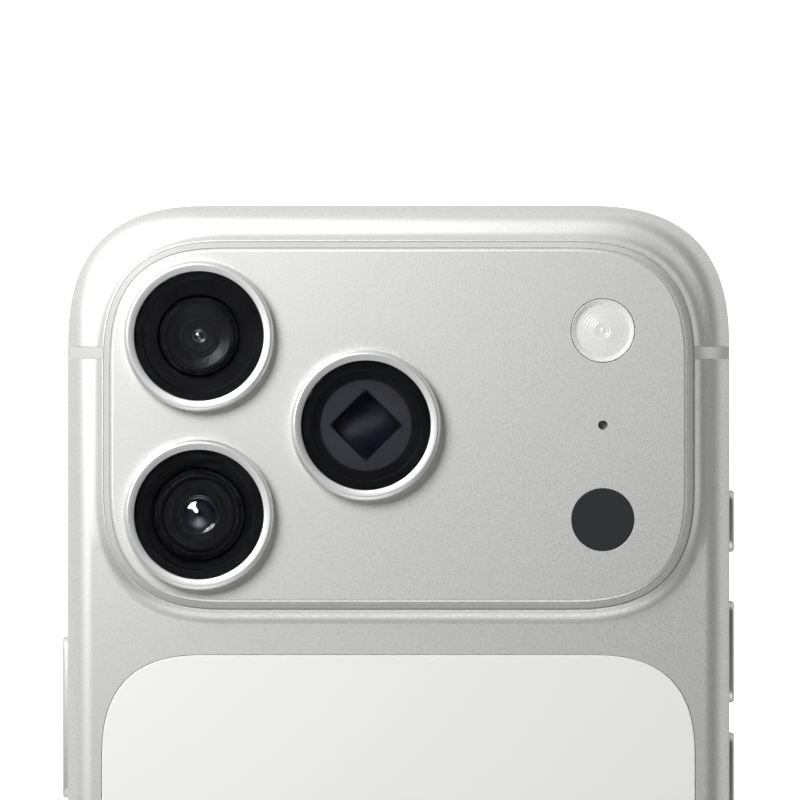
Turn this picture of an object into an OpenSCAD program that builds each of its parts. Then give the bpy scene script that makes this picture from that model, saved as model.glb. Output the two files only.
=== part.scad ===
// Slim metal-bodied smartphone, lying on its display with the camera end towards +Y.
// The display glass rests on Z = 0, the back faces +Z and the volume keys are on +X.

/* [Body] */
// Width across the side rails
body_w = 71.9; // [70:0.1:90]
// Length from end to end
body_l = 150; // [145:0.5:185]
// Thickness from the display face to the back
body_t = 8.75; // [8.5:0.05:10.5]
// Radius of the corners in plan
corner_r = 12.6; // [11:0.1:15]
// Radius of the round between the rails and the back
back_edge_r = 2.7; // [1.8:0.1:2.8]
// Radius of the round between the rails and the display rim
front_edge_r = 1.3; // [0.8:0.1:1.4]
// Thickness of the rails
rail_t = 2.35; // [2.1:0.05:2.6]
// Thickness of the metal back
back_wall = 1.4; // [1.2:0.05:1.6]

/* [Display] */
// Thickness of the front glass
front_glass_t = 0.75; // [0.6:0.05:0.9]
// Height of the front glass above the metal rim
front_glass_proud = 0.2; // [0.1:0.05:0.3]
// Width of the metal rim round the front glass
rim_w = 1.5; // [1.45:0.05:2]
// Width of the border between the glass edge and the panel
border_w = 1.15; // [1.1:0.05:1.6]
// Thickness of the display panel
panel_t = 0.65; // [0.5:0.05:0.7]
// Thickness of the plate behind the panel
panel_plate_t = 0.3; // [0.2:0.05:0.35]
// Thickness of the gasket under the front glass
gasket_t = 0.2; // [0.1:0.05:0.25]
// Thickness of the vapour chamber
chamber_t = 0.35; // [0.25:0.05:0.4]

/* [Camera plateau] */
// Gap from the body's outline to the foot of the plateau
plateau_gap = 3.75; // [3.6:0.05:5]
// Height of the plateau over the back
plateau_h = 2.5; // [2:0.1:3.2]
// Radius of the plateau's corners at its foot
plateau_r = 10.85; // [10:0.05:13]
// Width of the plastic band round the plateau
band_w = 1.3; // [1:0.05:1.5]
// Thickness of the plateau's walls and top
plateau_wall = 1.0; // [0.8:0.05:1.2]
// Radius of the hollow between the plateau and the back
foot_r = 1.4; // [1:0.1:1.6]
// Height at which the plastic band starts
foot_h = 0.85; // [0.6:0.05:1]
// Width of the plastic slits through the rails
slit_w = 1.4; // [1:0.1:2]
// Distance from the top end to the upper slits
upper_slit = 16; // [15:0.1:18]
// Distance from the bottom end to the lower slits
lower_slit = 15.2; // [14:0.1:18]

/* [Lenses] */
// Distance from the plateau's foot to the nearest trim ring, across
lens_edge_x = 2.43; // [2.2:0.01:4]
// Distance from the plateau's foot to the nearest trim ring, lengthways
lens_edge_y = 2.3; // [2.2:0.01:4]
// Width of a trim ring from its glass to its foot
ring_w = 1.15; // [1:0.01:1.3]
// Height of a trim ring over the plateau
ring_h = 1.9; // [1.6:0.05:2.4]
// Radius of the glass over each lens
lens_glass_r = 7.0; // [6.8:0.05:8.5]
// Thickness of the glass over each lens
lens_glass_t = 0.63; // [0.4:0.01:0.8]
// Focus travel of the lens barrels
focus_travel = 0.35; // [0.1:0.05:0.4]
// Radius of the ultra-wide lens barrel
ultra_barrel_r = 4.2; // [3.6:0.1:4.9]
// Radius of the wide lens barrel
wide_barrel_r = 4.85; // [4:0.05:5]
// Side of the ultra-wide camera's case
ultra_case = 15; // [14:0.1:15.2]
// Side of the wide camera's case
wide_case = 16.5; // [16:0.1:20]
// Side of the folded telephoto camera's case
tele_case = 16; // [15:0.1:17]
// Gap between the cases of the first column
case_gap = 3.59; // [3.4:0.01:6]
// Gap between the first column's cases and the folded camera's case
case_gap_x = 1.84; // [1.5:0.01:4]
// Largest shift of the stabilised sensor each way
sensor_shift = 0.25; // [0.1:0.05:0.3]

/* [Flash, microphone and depth scanner] */
// Distance from the side rail to the sensor column
sensor_inset_x = 13.8; // [13:0.05:15]
// Distance from the top end to the flash
sensor_inset_y = 13.6; // [13:0.05:15]
// Distance between flash, microphone and scanner
sensor_pitch = 10.25; // [9.5:0.05:12]
// Radius of the flash lens
flash_r = 3.42; // [3:0.01:3.7]
// Radius of the depth scanner's window
scanner_r = 3.36; // [3:0.01:3.8]
// Radius of the rear microphone hole
mic_hole_r = 0.5; // [0.4:0.05:0.7]

/* [Back glass] */
// Gap between the plateau's foot and the back glass
back_glass_gap = 4.8; // [4:0.1:7]
// Radius of the back glass's corners
back_glass_r = 9.1; // [8:0.1:10]
// Thickness of the back glass
back_glass_t = 0.75; // [0.6:0.05:0.8]
// Width of the ledge under the back glass
ledge_w = 1.3; // [1:0.05:1.6]
// Inner radius of the charging coil
coil_in_r = 10.2; // [8:0.1:12]
// Turns of the charging coil
coil_turns = 11; // [6:1:12]
// Inner radius of the magnet ring
magnet_in_r = 23.2; // [23:0.1:24]
// Width of the magnets
magnet_w = 4.4; // [4:0.1:5]
// Number of magnets in the ring
magnet_count = 18; // [12:1:24]

/* [Keys] */
// Height of the key caps across the rail
key_h = 2.9; // [2.4:0.05:3.1]
// Height of the key caps above the rail
key_proud = 0.54; // [0.3:0.01:0.8]
// Travel of the keys
key_travel = 0.25; // [0.15:0.01:0.28]
// Length of the action key
action_len = 6.7; // [6:0.1:8.5]
// Distance from the top end to the action key
action_at = 34.3; // [33:0.1:35]
// Length of each volume key
volume_len = 11.06; // [9:0.01:12]
// Distance from the top end to the volume-up key
volume_up_at = 48.5; // [47:0.1:50]
// Distance from the top end to the volume-down key
volume_down_at = 62.8; // [62:0.1:65]
// Length of the side key
side_len = 17.6; // [14:0.1:21.5]
// Distance from the top end to the side key
side_at = 55.6; // [52:0.1:60]
// Length of the camera key
camera_len = 17.2; // [14:0.1:20.8]
// Distance from the top end to the camera key
camera_at = 102; // [95:0.5:105]

/* [SIM tray] */
// Distance from the top end to the tray
tray_at = 85; // [84:0.1:87]
// Height of the tray's face plate
tray_face_h = 2.3; // [1.9:0.05:2.6]
// How far the face plate stands past the tray at each end
tray_lip = 0.75; // [0.5:0.05:1]
// Width of the tray's rim beside the card
tray_rim = 0.8; // [0.7:0.05:1]
// Thickness of the tray
tray_t = 1.2; // [0.9:0.05:1.3]
// Length of the SIM card's pocket
card_len = 12.4; // [12.35:0.01:12.6]
// Width of the SIM card's pocket
card_w = 8.9; // [8.85:0.01:9.2]

/* [Port and bottom end] */
// Inner width of the port's shell
port_w = 8.94; // [8.9:0.01:9]
// Inner height of the port's shell
port_h = 3.26; // [3.2:0.01:3.3]
// Length of the port's shell
port_depth = 7.4; // [6.5:0.1:8]
// Wall of the port's shell
port_wall = 0.25; // [0.15:0.01:0.3]
// Width of the port's tongue
tongue_w = 6.7; // [6.6:0.01:6.75]
// Thickness of the port's tongue
tongue_t = 0.7; // [0.65:0.01:0.75]
// Distance from the port's centre to each end screw
end_screw_x = 7.4; // [7.2:0.1:8]
// Radius of the sound holes
sound_hole_r = 0.75; // [0.5:0.05:0.8]
// Number of sound holes on each side of the port
sound_holes = 5; // [3:1:5]
// Distance between sound holes
sound_pitch = 2.3; // [2:0.05:2.4]
// Distance from the port's centre to the first sound hole
sound_start = 12.6; // [12:0.1:13]

/* [Battery and board] */
// Length of the zone at the bottom end that holds motor, speaker and port
bottom_zone = 27; // [25:0.5:32]
// Gap from the wide camera's case to the battery
battery_gap = 4.7; // [4:0.1:8]
// Width of the board beside the battery
board_arm_w = 13.4; // [12.5:0.1:14]
// Length of the board beside the battery
board_arm_l = 56; // [54:0.5:66]
// Thickness of the logic board
board_t = 0.7; // [0.5:0.05:0.75]
// Length of the vibration motor
motor_l = 23; // [20:0.1:23.5]
// Width of the vibration motor
motor_w = 10.5; // [9:0.1:11]
// Travel of the vibration motor's mass each way
motor_travel = 0.5; // [0.2:0.05:0.6]
// Travel of the speaker diaphragms each way
speaker_travel = 0.3; // [0.1:0.05:0.3]

/* [Hidden] */
$fn = 96;

// Clearances: a close fit, a bonded joint, a running gap and an overlap between cuts
fit = 0.03;
bond = 0.05;
run = 0.3;
slide = 0.08;
cut = 0.5;

// Heights of the layers, from the display face up
rim_z = front_glass_proud;
shelf_z = front_glass_t + gasket_t + bond;
panel_z = front_glass_t + bond;
plate_z = panel_z + panel_t + bond;
chamber_z = plate_z + panel_plate_t + bond;
inside_z = chamber_z + chamber_t + 2 * bond;
head_t = 0.35;
deck_z = inside_z + head_t + bond;
ceiling_z = body_t - back_wall;
rail_mid = (rim_z + body_t) / 2;
glass_seat_z = body_t - back_glass_t - 2 * bond;
coil_top = glass_seat_z - bond / 2;
magnet_t = 0.55;
magnet_out_r = magnet_in_r + magnet_w;
coil_t = 0.45;
shield_t = 0.35;
shield_z = coil_top - magnet_t - bond - shield_t;
pack_top = shield_z - 2 * bond;

// Plan of the body and its inner space
half_w = body_w / 2;
half_l = body_l / 2;
cav_x = half_w - rail_t;
cav_y = half_l - rail_t;
cav_r = corner_r - rail_t;
front_w = body_w - 2 * rim_w;
front_l = body_l - 2 * rim_w;
front_r = corner_r - rim_w;
panel_w = front_w - 2 * border_w;
panel_l = front_l - 2 * border_w;
panel_r = front_r - border_w;

// Camera spacing follows the cases, and the plateau follows the trim rings
ring_r = lens_glass_r + ring_w;
lens_pitch = (ultra_case + wide_case) / 2 + case_gap;
lens_offset = (wide_case + tele_case) / 2 + case_gap_x;
plateau_l = 2 * (ring_r + lens_edge_y) + lens_pitch;

// Plateau: foot, inner face of the band, inner space and heights
foot_w = body_w - 2 * plateau_gap;
foot_y = half_l - plateau_gap - plateau_l / 2;
top_w = foot_w - 2 * band_w;
top_l = plateau_l - 2 * band_w;
top_r = plateau_r - band_w;
room_w = top_w - 2 * plateau_wall;
room_l = top_l - 2 * plateau_wall;
room_r = top_r - plateau_wall;
top_z = body_t + plateau_h;
room_z = top_z - plateau_wall;
groove_z = body_t - 0.3;

// Back glass and charging coil
glass_y0 = -half_l + plateau_gap;
glass_y1 = foot_y - plateau_l / 2 - back_glass_gap;
glass_l = glass_y1 - glass_y0;
coil_y = (glass_y0 + glass_y1) / 2;

// Camera positions and sizes
ultra_at = [-half_w + plateau_gap + lens_edge_x + ring_r, half_l - plateau_gap - lens_edge_y - ring_r];
wide_at = ultra_at - [0, lens_pitch];
tele_at = ultra_at + [lens_offset, -lens_pitch / 2];
lenses = [ultra_at, wide_at, tele_at];
ring_z = top_z + fit;
ring_top = top_z + ring_h;
ring_seat = ring_top - lens_glass_t - 0.12;
ring_neck_r = ring_r - 0.6;
ring_bore_r = lens_glass_r - 0.7;
case_z = deck_z + 0.35;
case_top = ceiling_z - 3 * bond;
turret_r = ring_bore_r + 0.4;
turret_top = room_z - run;
barrel_top = ring_seat - focus_travel - 0.25;
stage_side = wide_case - 3 - 2 * sensor_shift - 2 * run;
flash_at = [half_w - sensor_inset_x, half_l - sensor_inset_y];
mic_at = flash_at - [0, sensor_pitch];
scanner_at = mic_at - [0, sensor_pitch];

// Centre line of the front sensors
island_y = half_l - 7.5;

// Screw bosses: four for the camera bracket, four for the board and two for the port
boss_r = 1.25;
screw_r = 0.5;
screw_hole_r = screw_r + bond;
screw_head_r = 1;
screw_l = 2.6;
camera_bosses = [
    [ultra_at[0] + max(ultra_case / 2 + 1.75, turret_r + boss_r + 0.15), tele_at[1] + tele_case / 2 + 2.4],
    [ultra_at[0], (ultra_at[1] - ultra_case / 2 + wide_at[1] + wide_case / 2) / 2],
    [wide_at[0] + wide_case / 2 + 1.75, tele_at[1] - tele_case / 2 - 5.6],
    [tele_at[0] + tele_case / 2 + 1.55, tele_at[1] - 5]
];
board_x1 = cav_x - 2;
board_arm_x0 = board_x1 - board_arm_w;
ear_half_w = 7.5;
board_x0 = max(tele_at[0] + tele_case / 2 + 3.5, ear_half_w + 0.45);
board_y1 = cav_y - 2.5;
board_y0 = foot_y - plateau_l / 2 + 1;
board_end = board_y0 - board_arm_l;
board_z = deck_z;
board_top = board_z + board_t;
board_bosses = [
    [board_x0 + 2, island_y - 6],
    [board_x1 - 2.4, board_y0 + 3.6],
    [board_arm_x0 + 2.2, board_y0 - 3.2],
    [cav_x - 1.7, board_end + 2.6]
];
port_bosses = [[-10.9, -cav_y + 3.1], [10.9, -cav_y + 3.1]];

// Card tray: its rim and face plate follow the card
tray_w = card_len + 2 * tray_rim;
tray_face_len = tray_w + 2 * tray_lip;
tray_end = 1.2;
tray_neck = 1.5;
tray_depth = tray_end + card_w + tray_neck;

// Rails: key pockets, switches and the SIM reader
pocket_x = half_w - 1.3;
flange_t = 0.5;
flange_x = pocket_x - 0.25 - flange_t;
flange_rim = 0.7;
switch_x = cav_x - 0.9;
dome_x = flange_x - 0.3 - key_travel;
action_y = half_l - action_at;
volume_up_y = half_l - volume_up_at;
volume_down_y = half_l - volume_down_at;
side_y = half_l - side_at;
camera_y = half_l - camera_at;
tray_y = half_l - tray_at;
upper_slit_y = half_l - upper_slit;
lower_slit_y = -half_l + lower_slit;

// Battery, bottom end and top end
battery_x0 = -switch_x + 0.2;
battery_x1 = board_arm_x0 - 0.9;
battery_y1 = wide_at[1] - wide_case / 2 - battery_gap;
bottom_y1 = -half_l + bottom_zone;
battery_y0 = bottom_y1 + 2.5;
shell_out_w = port_w + 2 * port_wall;
shell_out_h = port_h + 2 * port_wall;
shell_y0 = -half_l + 0.6;
shell_y1 = shell_y0 + port_depth;
sound_end = sound_start + (sound_holes - 1) * sound_pitch;
front_camera_at = [-6.5, island_y];
infrared_at = [6.5, island_y];
ear_slot = 9;
ear_y0 = tele_at[1] + tele_case / 2 + 0.4;
ear_y1 = island_y - 3.6;

// ---- Shared shapes ----

// Flat rectangle with round corners
module rounded(w, l, r) {
    square([w - 2 * r, l], center = true);
    square([w, l - 2 * r], center = true);
    for (x = [-1, 1], y = [-1, 1])
        translate([x * (w / 2 - r), y * (l / 2 - r)]) circle(r);
}

// Plate with round corners between two heights
module plate(w, l, r, z0, z1) {
    translate([0, 0, z0]) linear_extrude(z1 - z0) rounded(w, l, r);
}

// Rectangular block from its two opposite corners
module block(x, y, z) {
    translate([x[0], y[0], z[0]]) cube([x[1] - x[0], y[1] - y[0], z[1] - z[0]]);
}

// Rectangular block centred on a point in plan
module tile(at, w, l, z) {
    translate([at[0] - w / 2, at[1] - l / 2, z[0]]) cube([w, l, z[1] - z[0]]);
}

// Upright cylinder at a point in plan
module post(at, r, z) {
    translate([at[0], at[1], z[0]]) cylinder(h = z[1] - z[0], r = r);
}

// Flat shape with half-round ends
module pill(len, h) {
    square([len - h, h], center = true);
    for (x = [-1, 1]) translate([x * (len - h) / 2, 0]) circle(h / 2);
}

// Pill through the side rail, from x[0] to x[1], on the rail's mid height
module rail_pill(len, h, y, x) {
    translate([x[0], y, rail_mid]) rotate([90, 0, 90]) linear_extrude(x[1] - x[0]) pill(len, h);
}

// Pill through the bottom end, from y[0] to y[1]
module end_pill(len, h, y) {
    translate([0, y[1], rail_mid]) rotate([90, 0, 0]) linear_extrude(y[1] - y[0]) pill(len, h);
}

// Cylinder through the bottom end
module end_bore(x, r, y) {
    translate([x, y[1], rail_mid]) rotate([90, 0, 0]) cylinder(h = y[1] - y[0], r = r);
}

// Half section of the body: a bar with a small round below and a large one above
module edge_section(half, z0, z1) {
    translate([0, z0 + front_edge_r]) square([half, z1 - z0 - front_edge_r - back_edge_r]);
    translate([0, z0]) square([half - front_edge_r, front_edge_r + cut]);
    translate([0, z1 - back_edge_r - cut]) square([half - back_edge_r, back_edge_r + cut]);
    translate([half - front_edge_r, z0 + front_edge_r]) circle(front_edge_r);
    translate([half - back_edge_r, z1 - back_edge_r]) circle(back_edge_r);
}

module full_section(half, z0, z1) {
    edge_section(half, z0, z1);
    mirror([1, 0]) edge_section(half, z0, z1);
}

// Body without its plateau: two crossed bars and four turned corners
module slab() {
    rotate([90, 0, 0]) linear_extrude(body_l - 2 * corner_r, center = true)
        full_section(half_w, rim_z, body_t);
    rotate([90, 0, 90]) linear_extrude(body_w - 2 * corner_r, center = true)
        full_section(half_l, rim_z, body_t);
    for (i = [0:3]) {
        sx = (i == 0 || i == 3) ? 1 : -1;
        sy = (i < 2) ? 1 : -1;
        translate([sx * (half_w - corner_r), sy * (half_l - corner_r), 0]) rotate([0, 0, 90 * i])
            rotate_extrude(angle = 90) edge_section(corner_r, rim_z, body_t);
    }
}

// Carries a flat profile round a rectangle with round corners; its x runs outwards
module round_sweep(w, l, r) {
    for (s = [0, 1]) {
        mirror([s, 0, 0]) translate([w / 2, 0, 0]) rotate([90, 0, 0])
            linear_extrude(l - 2 * r, center = true) children();
        mirror([0, s, 0]) translate([0, l / 2, 0]) rotate([90, 0, 90])
            linear_extrude(w - 2 * r, center = true) children();
    }
    for (i = [0:3]) {
        sx = (i == 0 || i == 3) ? 1 : -1;
        sy = (i < 2) ? 1 : -1;
        translate([sx * (w / 2 - r), sy * (l / 2 - r), 0]) rotate([0, 0, 90 * i])
            rotate_extrude(angle = 90) translate([r, 0]) children();
    }
}

// Hollow foot of the plateau: a square with a quarter circle taken out
module foot_profile() {
    toe = 0.08;
    translate([-cut / 2, body_t - toe]) difference() {
        square([foot_r + cut / 2, foot_h + toe]);
        translate([foot_r + cut / 2, foot_r]) circle(foot_r);
    }
}

// Outside of the metal body
module outer_form() {
    slab();
    translate([0, foot_y, 0]) {
        plate(top_w, top_l, top_r, body_t - cut, top_z);
        round_sweep(foot_w, plateau_l, plateau_r) foot_profile();
    }
}

// Runs its children on both side rails
module both_rails() {
    for (s = [0, 1]) mirror([s, 0, 0]) children();
}

// Slot for a plastic slit through a side rail
module slit_box(y, w) {
    block([cav_x - cut, half_w + cut], [y - w / 2, y + w / 2], [0, body_t + cut]);
}

// Bridge of the upper slit from the rail to the plateau's band
module slit_bridge(w) {
    block([foot_w / 2 - cut / 2, cav_x], [upper_slit_y - w / 2, upper_slit_y + w / 2],
        [groove_z, body_t + foot_h + cut]);
}

// ---- Metal body ----

module bosses() {
    for (p = camera_bosses) post(p, boss_r, [case_z, room_z + cut / 2]);
    for (p = board_bosses) post(p, boss_r, [board_top + bond, ceiling_z + cut]);
    post(board_bosses[0], boss_r, [board_top + bond, room_z + cut / 2]);
    for (p = port_bosses) post(p, boss_r, [deck_z + 0.3 + bond, ceiling_z + cut / 2]);
    for (s = [-1, 1]) block([s * 10.9 - boss_r, s * 10.9 + boss_r], [-cav_y - cut, -cav_y + 3.1],
        [ceiling_z - 1.2, ceiling_z + cut / 2]);
}

module boss_holes() {
    for (p = camera_bosses) post(p, screw_hole_r, [case_z - cut, case_z + screw_l]);
    for (p = board_bosses) post(p, screw_hole_r, [board_top - cut, board_top + screw_l]);
    for (p = port_bosses) post(p, screw_hole_r, [deck_z - cut, deck_z + 0.3 + screw_l]);
}

module key_slot(y, len, h) {
    rail_pill(len + 2 * slide, h + 2 * slide, y, [cav_x - cut, half_w + 1]);
    rail_pill(len + 2 * flange_rim + 2 * slide, h + 2 * flange_rim + 2 * slide, y,
        [cav_x - cut, pocket_x]);
}

module sim_slot() {
    rail_pill(tray_face_len + 2 * slide, tray_face_h + 2 * slide, tray_y, [pocket_x, half_w + 1]);
    block([cav_x - cut, pocket_x + cut], [tray_y - tray_w / 2 - slide, tray_y + tray_w / 2 + slide],
        [rail_mid - tray_t / 2 - slide, rail_mid + tray_t / 2 + slide]);
}

module end_openings() {
    end_pill(port_w + 0.06, port_h + 0.06, [-half_l - 1, -half_l + cut + 0.1]);
    end_pill(shell_out_w + 2 * fit, shell_out_h + 2 * fit, [shell_y0 - fit, -cav_y + cut]);
    for (s = [-1, 1]) {
        end_bore(s * end_screw_x, screw_r + slide, [-half_l - 1, -cav_y + cut]);
        end_bore(s * end_screw_x, 0.85 + slide, [-half_l - 1, -half_l + 0.9]);
        for (i = [0:sound_holes - 1])
            end_bore(s * (sound_start + i * sound_pitch), sound_hole_r, [-half_l - 1, -cav_y + cut]);
    }
}

module housing() {
    color("gainsboro") difference() {
        union() {
            difference() {
                outer_form();
                plate(front_w + 2 * bond, front_l + 2 * bond, front_r + bond, -cut, shelf_z);
                plate(2 * cav_x, 2 * cav_y, cav_r, 0, ceiling_z);
                translate([0, foot_y, 0]) plate(room_w, room_l, room_r, ceiling_z - cut, room_z);
            }
            bosses();
        }
        boss_holes();
        translate([0, foot_y, 0]) difference() {
            plate(foot_w, plateau_l, plateau_r, groove_z, top_z + 1);
            plate(top_w, top_l, top_r, groove_z - cut, top_z + 2);
        }
        both_rails() {
            slit_box(upper_slit_y, slit_w);
            slit_box(lower_slit_y, slit_w);
            slit_bridge(slit_w);
        }
        translate([0, coil_y, 0]) {
            plate(foot_w + 2 * bond, glass_l + 2 * bond, back_glass_r + bond, glass_seat_z, body_t + 1);
            plate(foot_w - 2 * ledge_w, glass_l - 2 * ledge_w, back_glass_r - ledge_w,
                ceiling_z - cut, body_t);
        }
        for (p = lenses) post(p, ring_neck_r + bond, [room_z - cut, top_z + cut]);
        post(flash_at, flash_r + slide, [room_z - cut, top_z + cut]);
        post(mic_at, mic_hole_r, [room_z - cut, top_z + cut]);
        post(scanner_at, scanner_r + bond, [room_z - cut, top_z + cut]);
        key_slot(action_y, action_len, key_h);
        key_slot(volume_up_y, volume_len, key_h);
        key_slot(volume_down_y, volume_len, key_h);
        mirror([1, 0, 0]) {
            key_slot(side_y, side_len, key_h);
            key_slot(camera_y, camera_len, key_h);
        }
        sim_slot();
        end_openings();
        block([-ear_slot / 2, ear_slot / 2], [cav_y - cut, half_l - rim_w], [shelf_z - cut, shelf_z + 1.8]);
    }
}

// Plastic band round the plateau with its two rail slits, and the two lower slits
module antenna_inserts() {
    w = slit_w - 2 * fit;
    color("whitesmoke") {
        translate([0, foot_y, 0]) round_sweep(foot_w, plateau_l, plateau_r)
            polygon([[-band_w + fit, groove_z + fit], [-fit, groove_z + fit], [-fit, body_t + foot_h],
                [-band_w + 0.35, top_z - bond], [-band_w + fit, top_z - bond]]);
        both_rails() intersection() {
            union() {
                slab();
                translate([0, foot_y, 0]) round_sweep(foot_w, plateau_l, plateau_r) foot_profile();
            }
            union() {
                block([cav_x + fit, half_w + cut], [upper_slit_y - w / 2, upper_slit_y + w / 2],
                    [shelf_z, body_t + cut]);
                block([foot_w / 2 - band_w / 2, cav_x + cut],
                    [upper_slit_y - w / 2, upper_slit_y + w / 2], [groove_z + fit, body_t + foot_h]);
            }
        }
        both_rails() intersection() {
            slab();
            block([cav_x + fit, half_w + cut], [lower_slit_y - w / 2, lower_slit_y + w / 2],
                [shelf_z, body_t + cut]);
        }
    }
}

// ---- Back glass and charging parts ----

module back_glass() {
    color("white") translate([0, coil_y, 0])
        plate(foot_w, glass_l, back_glass_r, body_t - back_glass_t, body_t);
}

module back_glass_adhesive() {
    color("dimgray") translate([0, coil_y, 0]) difference() {
        plate(foot_w - bond, glass_l - bond, back_glass_r, glass_seat_z + bond / 4,
            body_t - back_glass_t - bond / 4);
        plate(foot_w - 2 * ledge_w + bond, glass_l - 2 * ledge_w + bond, back_glass_r - ledge_w,
            glass_seat_z - cut, body_t);
    }
}

// Flat winding: one ring for each turn, joined by the lead that crosses them
module charging_coil() {
    pitch = (magnet_in_r - 1.4 - coil_in_r) / coil_turns;
    color("peru") translate([0, coil_y, coil_top - coil_t]) {
        for (i = [0:coil_turns - 1])
            rotate_extrude() translate([coil_in_r + i * pitch, 0]) square([pitch * 0.72, coil_t]);
        translate([-0.6, -magnet_in_r + 1, 0]) cube([1.2, magnet_in_r - 1 - coil_in_r, coil_t / 2]);
    }
}

// Ring of flat magnets, and the upright aligning magnet below it
module magnet_ring() {
    step = 360 / magnet_count;
    color("silver") translate([0, coil_y, coil_top - magnet_t]) {
        for (i = [0:magnet_count - 1]) rotate([0, 0, i * step + 1])
            rotate_extrude(angle = step - 2) translate([magnet_in_r, 0])
                square([magnet_out_r - magnet_in_r, magnet_t]);
        translate([-2.8, -magnet_out_r - 17, 0]) cube([5.6, 12.5, magnet_t]);
    }
}

module charging_shield() {
    color("darkslategray") translate([0, coil_y, shield_z]) cylinder(h = shield_t, r = magnet_out_r + 0.8);
}

// ---- Battery, cooling and board ----

module battery() {
    color("dimgray") difference() {
        translate([(battery_x0 + battery_x1) / 2, (battery_y0 + battery_y1) / 2, 0])
            plate(battery_x1 - battery_x0, battery_y1 - battery_y0, 1.5, inside_z, pack_top);
        tile([battery_x1, battery_y1 - 9], 4, 7, [pack_top - 1.2, pack_top + 1]);
    }
}

module vapour_chamber() {
    color("sandybrown") translate([1, (board_y1 + board_end) / 2 - 9, 0])
        plate(2 * cav_x - 17.2, 80, 4, chamber_z, chamber_z + chamber_t);
}

// Inner space seen in plan, drawn in by a margin
module inner_plan(margin) {
    rounded(2 * (cav_x - margin), 2 * (cav_y - margin), cav_r - margin);
}

module logic_board() {
    color("darkgreen") difference() {
        translate([0, 0, board_z]) linear_extrude(board_t) intersection() {
            union() {
                translate([board_x0, board_y0]) square([board_x1 - board_x0, board_y1 - board_y0]);
                translate([board_arm_x0, board_end]) square([board_arm_w, board_y0 - board_end + cut]);
                translate([board_arm_x0, board_end]) square([cav_x - 0.4 - board_arm_x0, 5]);
            }
            inner_plan(0.4);
        }
        for (p = board_bosses) post(p, screw_hole_r, [board_z - 1, board_top + 1]);
        block([board_x0 - 1, infrared_at[0] + 3.6], [island_y - 3.8, half_l], [board_z - 1, board_top + 1]);
    }
}

module processor_package() {
    color("black") tile([(board_x0 + board_x1) / 2, (board_y0 + board_y1) / 2 - 2], 14, 15,
        [board_top + bond, board_top + 1.3]);
}

// Sheet lid over the processor
module board_shield() {
    at = [(board_x0 + board_x1) / 2, (board_y0 + board_y1) / 2 - 2];
    color("silver") difference() {
        tile(at, 16.6, 20, [board_top + bond, board_top + 1.9]);
        tile(at, 16.2, 19.6, [board_top - 1, board_top + 1.7]);
    }
}

// Ten equal screws: each has a flat head towards the display and a shank in its boss
module internal_screws() {
    color("lightgray") {
        for (p = concat(camera_bosses, port_bosses)) screw_at(p, case_z - 0.35);
        for (p = board_bosses) screw_at(p, board_z);
    }
}

module screw_at(p, z) {
    post(p, screw_head_r, [z - bond - head_t, z - bond]);
    post(p, screw_r, [z - bond - head_t / 2, z - bond + screw_l]);
}

// ---- Rear cameras ----

module camera_bracket() {
    x0 = ultra_at[0] - wide_case / 2;
    x1 = camera_bosses[3][0] + 1.6;
    y0 = wide_at[1] - wide_case / 2;
    y1 = camera_bosses[0][1] + 1.6;
    z = [deck_z - 1, deck_z + 1];
    color("slategray") difference() {
        block([x0, x1], [y0, y1], [deck_z, deck_z + 0.3]);
        for (p = camera_bosses) post(p, screw_hole_r, z);
        block([tele_at[0] - tele_case / 2 + 2, x1 + 1], [y0 - 1, tele_at[1] - tele_case / 2 - 2], z);
        block([camera_bosses[0][0] + 1.6, x1 + 1], [ear_y0 - run, y1 + 1], z);
    }
}

// Turned ring: a neck through the plateau, a shoulder on it and a seat for the glass
module trim_ring(at) {
    color("silver") translate([at[0], at[1], 0]) rotate_extrude() polygon([
        [ring_bore_r, room_z + bond], [ring_neck_r, room_z + bond], [ring_neck_r, ring_z],
        [ring_r, ring_z], [ring_r, ring_top - 0.6], [ring_r - 0.45, ring_top],
        [lens_glass_r + bond, ring_top], [lens_glass_r + bond, ring_seat], [ring_bore_r, ring_seat]
    ]);
}

module ultra_wide_trim_ring() { trim_ring(ultra_at); }
module wide_trim_ring() { trim_ring(wide_at); }
module tele_trim_ring() { trim_ring(tele_at); }

module lens_glass(at) {
    color("black") post(at, lens_glass_r, [ring_seat + fit, ring_seat + fit + lens_glass_t]);
}

module ultra_wide_glass() { lens_glass(ultra_at); }
module wide_glass() { lens_glass(wide_at); }
module tele_glass() { lens_glass(tele_at); }

// Camera case: a square base, a round turret and the bore that the barrel runs in
module camera_case(at, side, bore_r, floor_z) {
    difference() {
        union() {
            tile(at, side, side, [case_z, case_top]);
            post(at, turret_r, [case_top - cut, turret_top]);
        }
        post(at, bore_r, [floor_z, turret_top + 1]);
    }
}

module ultra_wide_camera_case() {
    color("darkslategray") camera_case(ultra_at, ultra_case, ultra_barrel_r + run, case_z + 1.4);
}

module wide_camera_case() {
    color("darkslategray") difference() {
        camera_case(wide_at, wide_case, wide_barrel_r + run, case_z + 1.9);
        tile(wide_at, wide_case - 3, wide_case - 3, [case_z + 0.3, case_z + 2.1]);
    }
}

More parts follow.
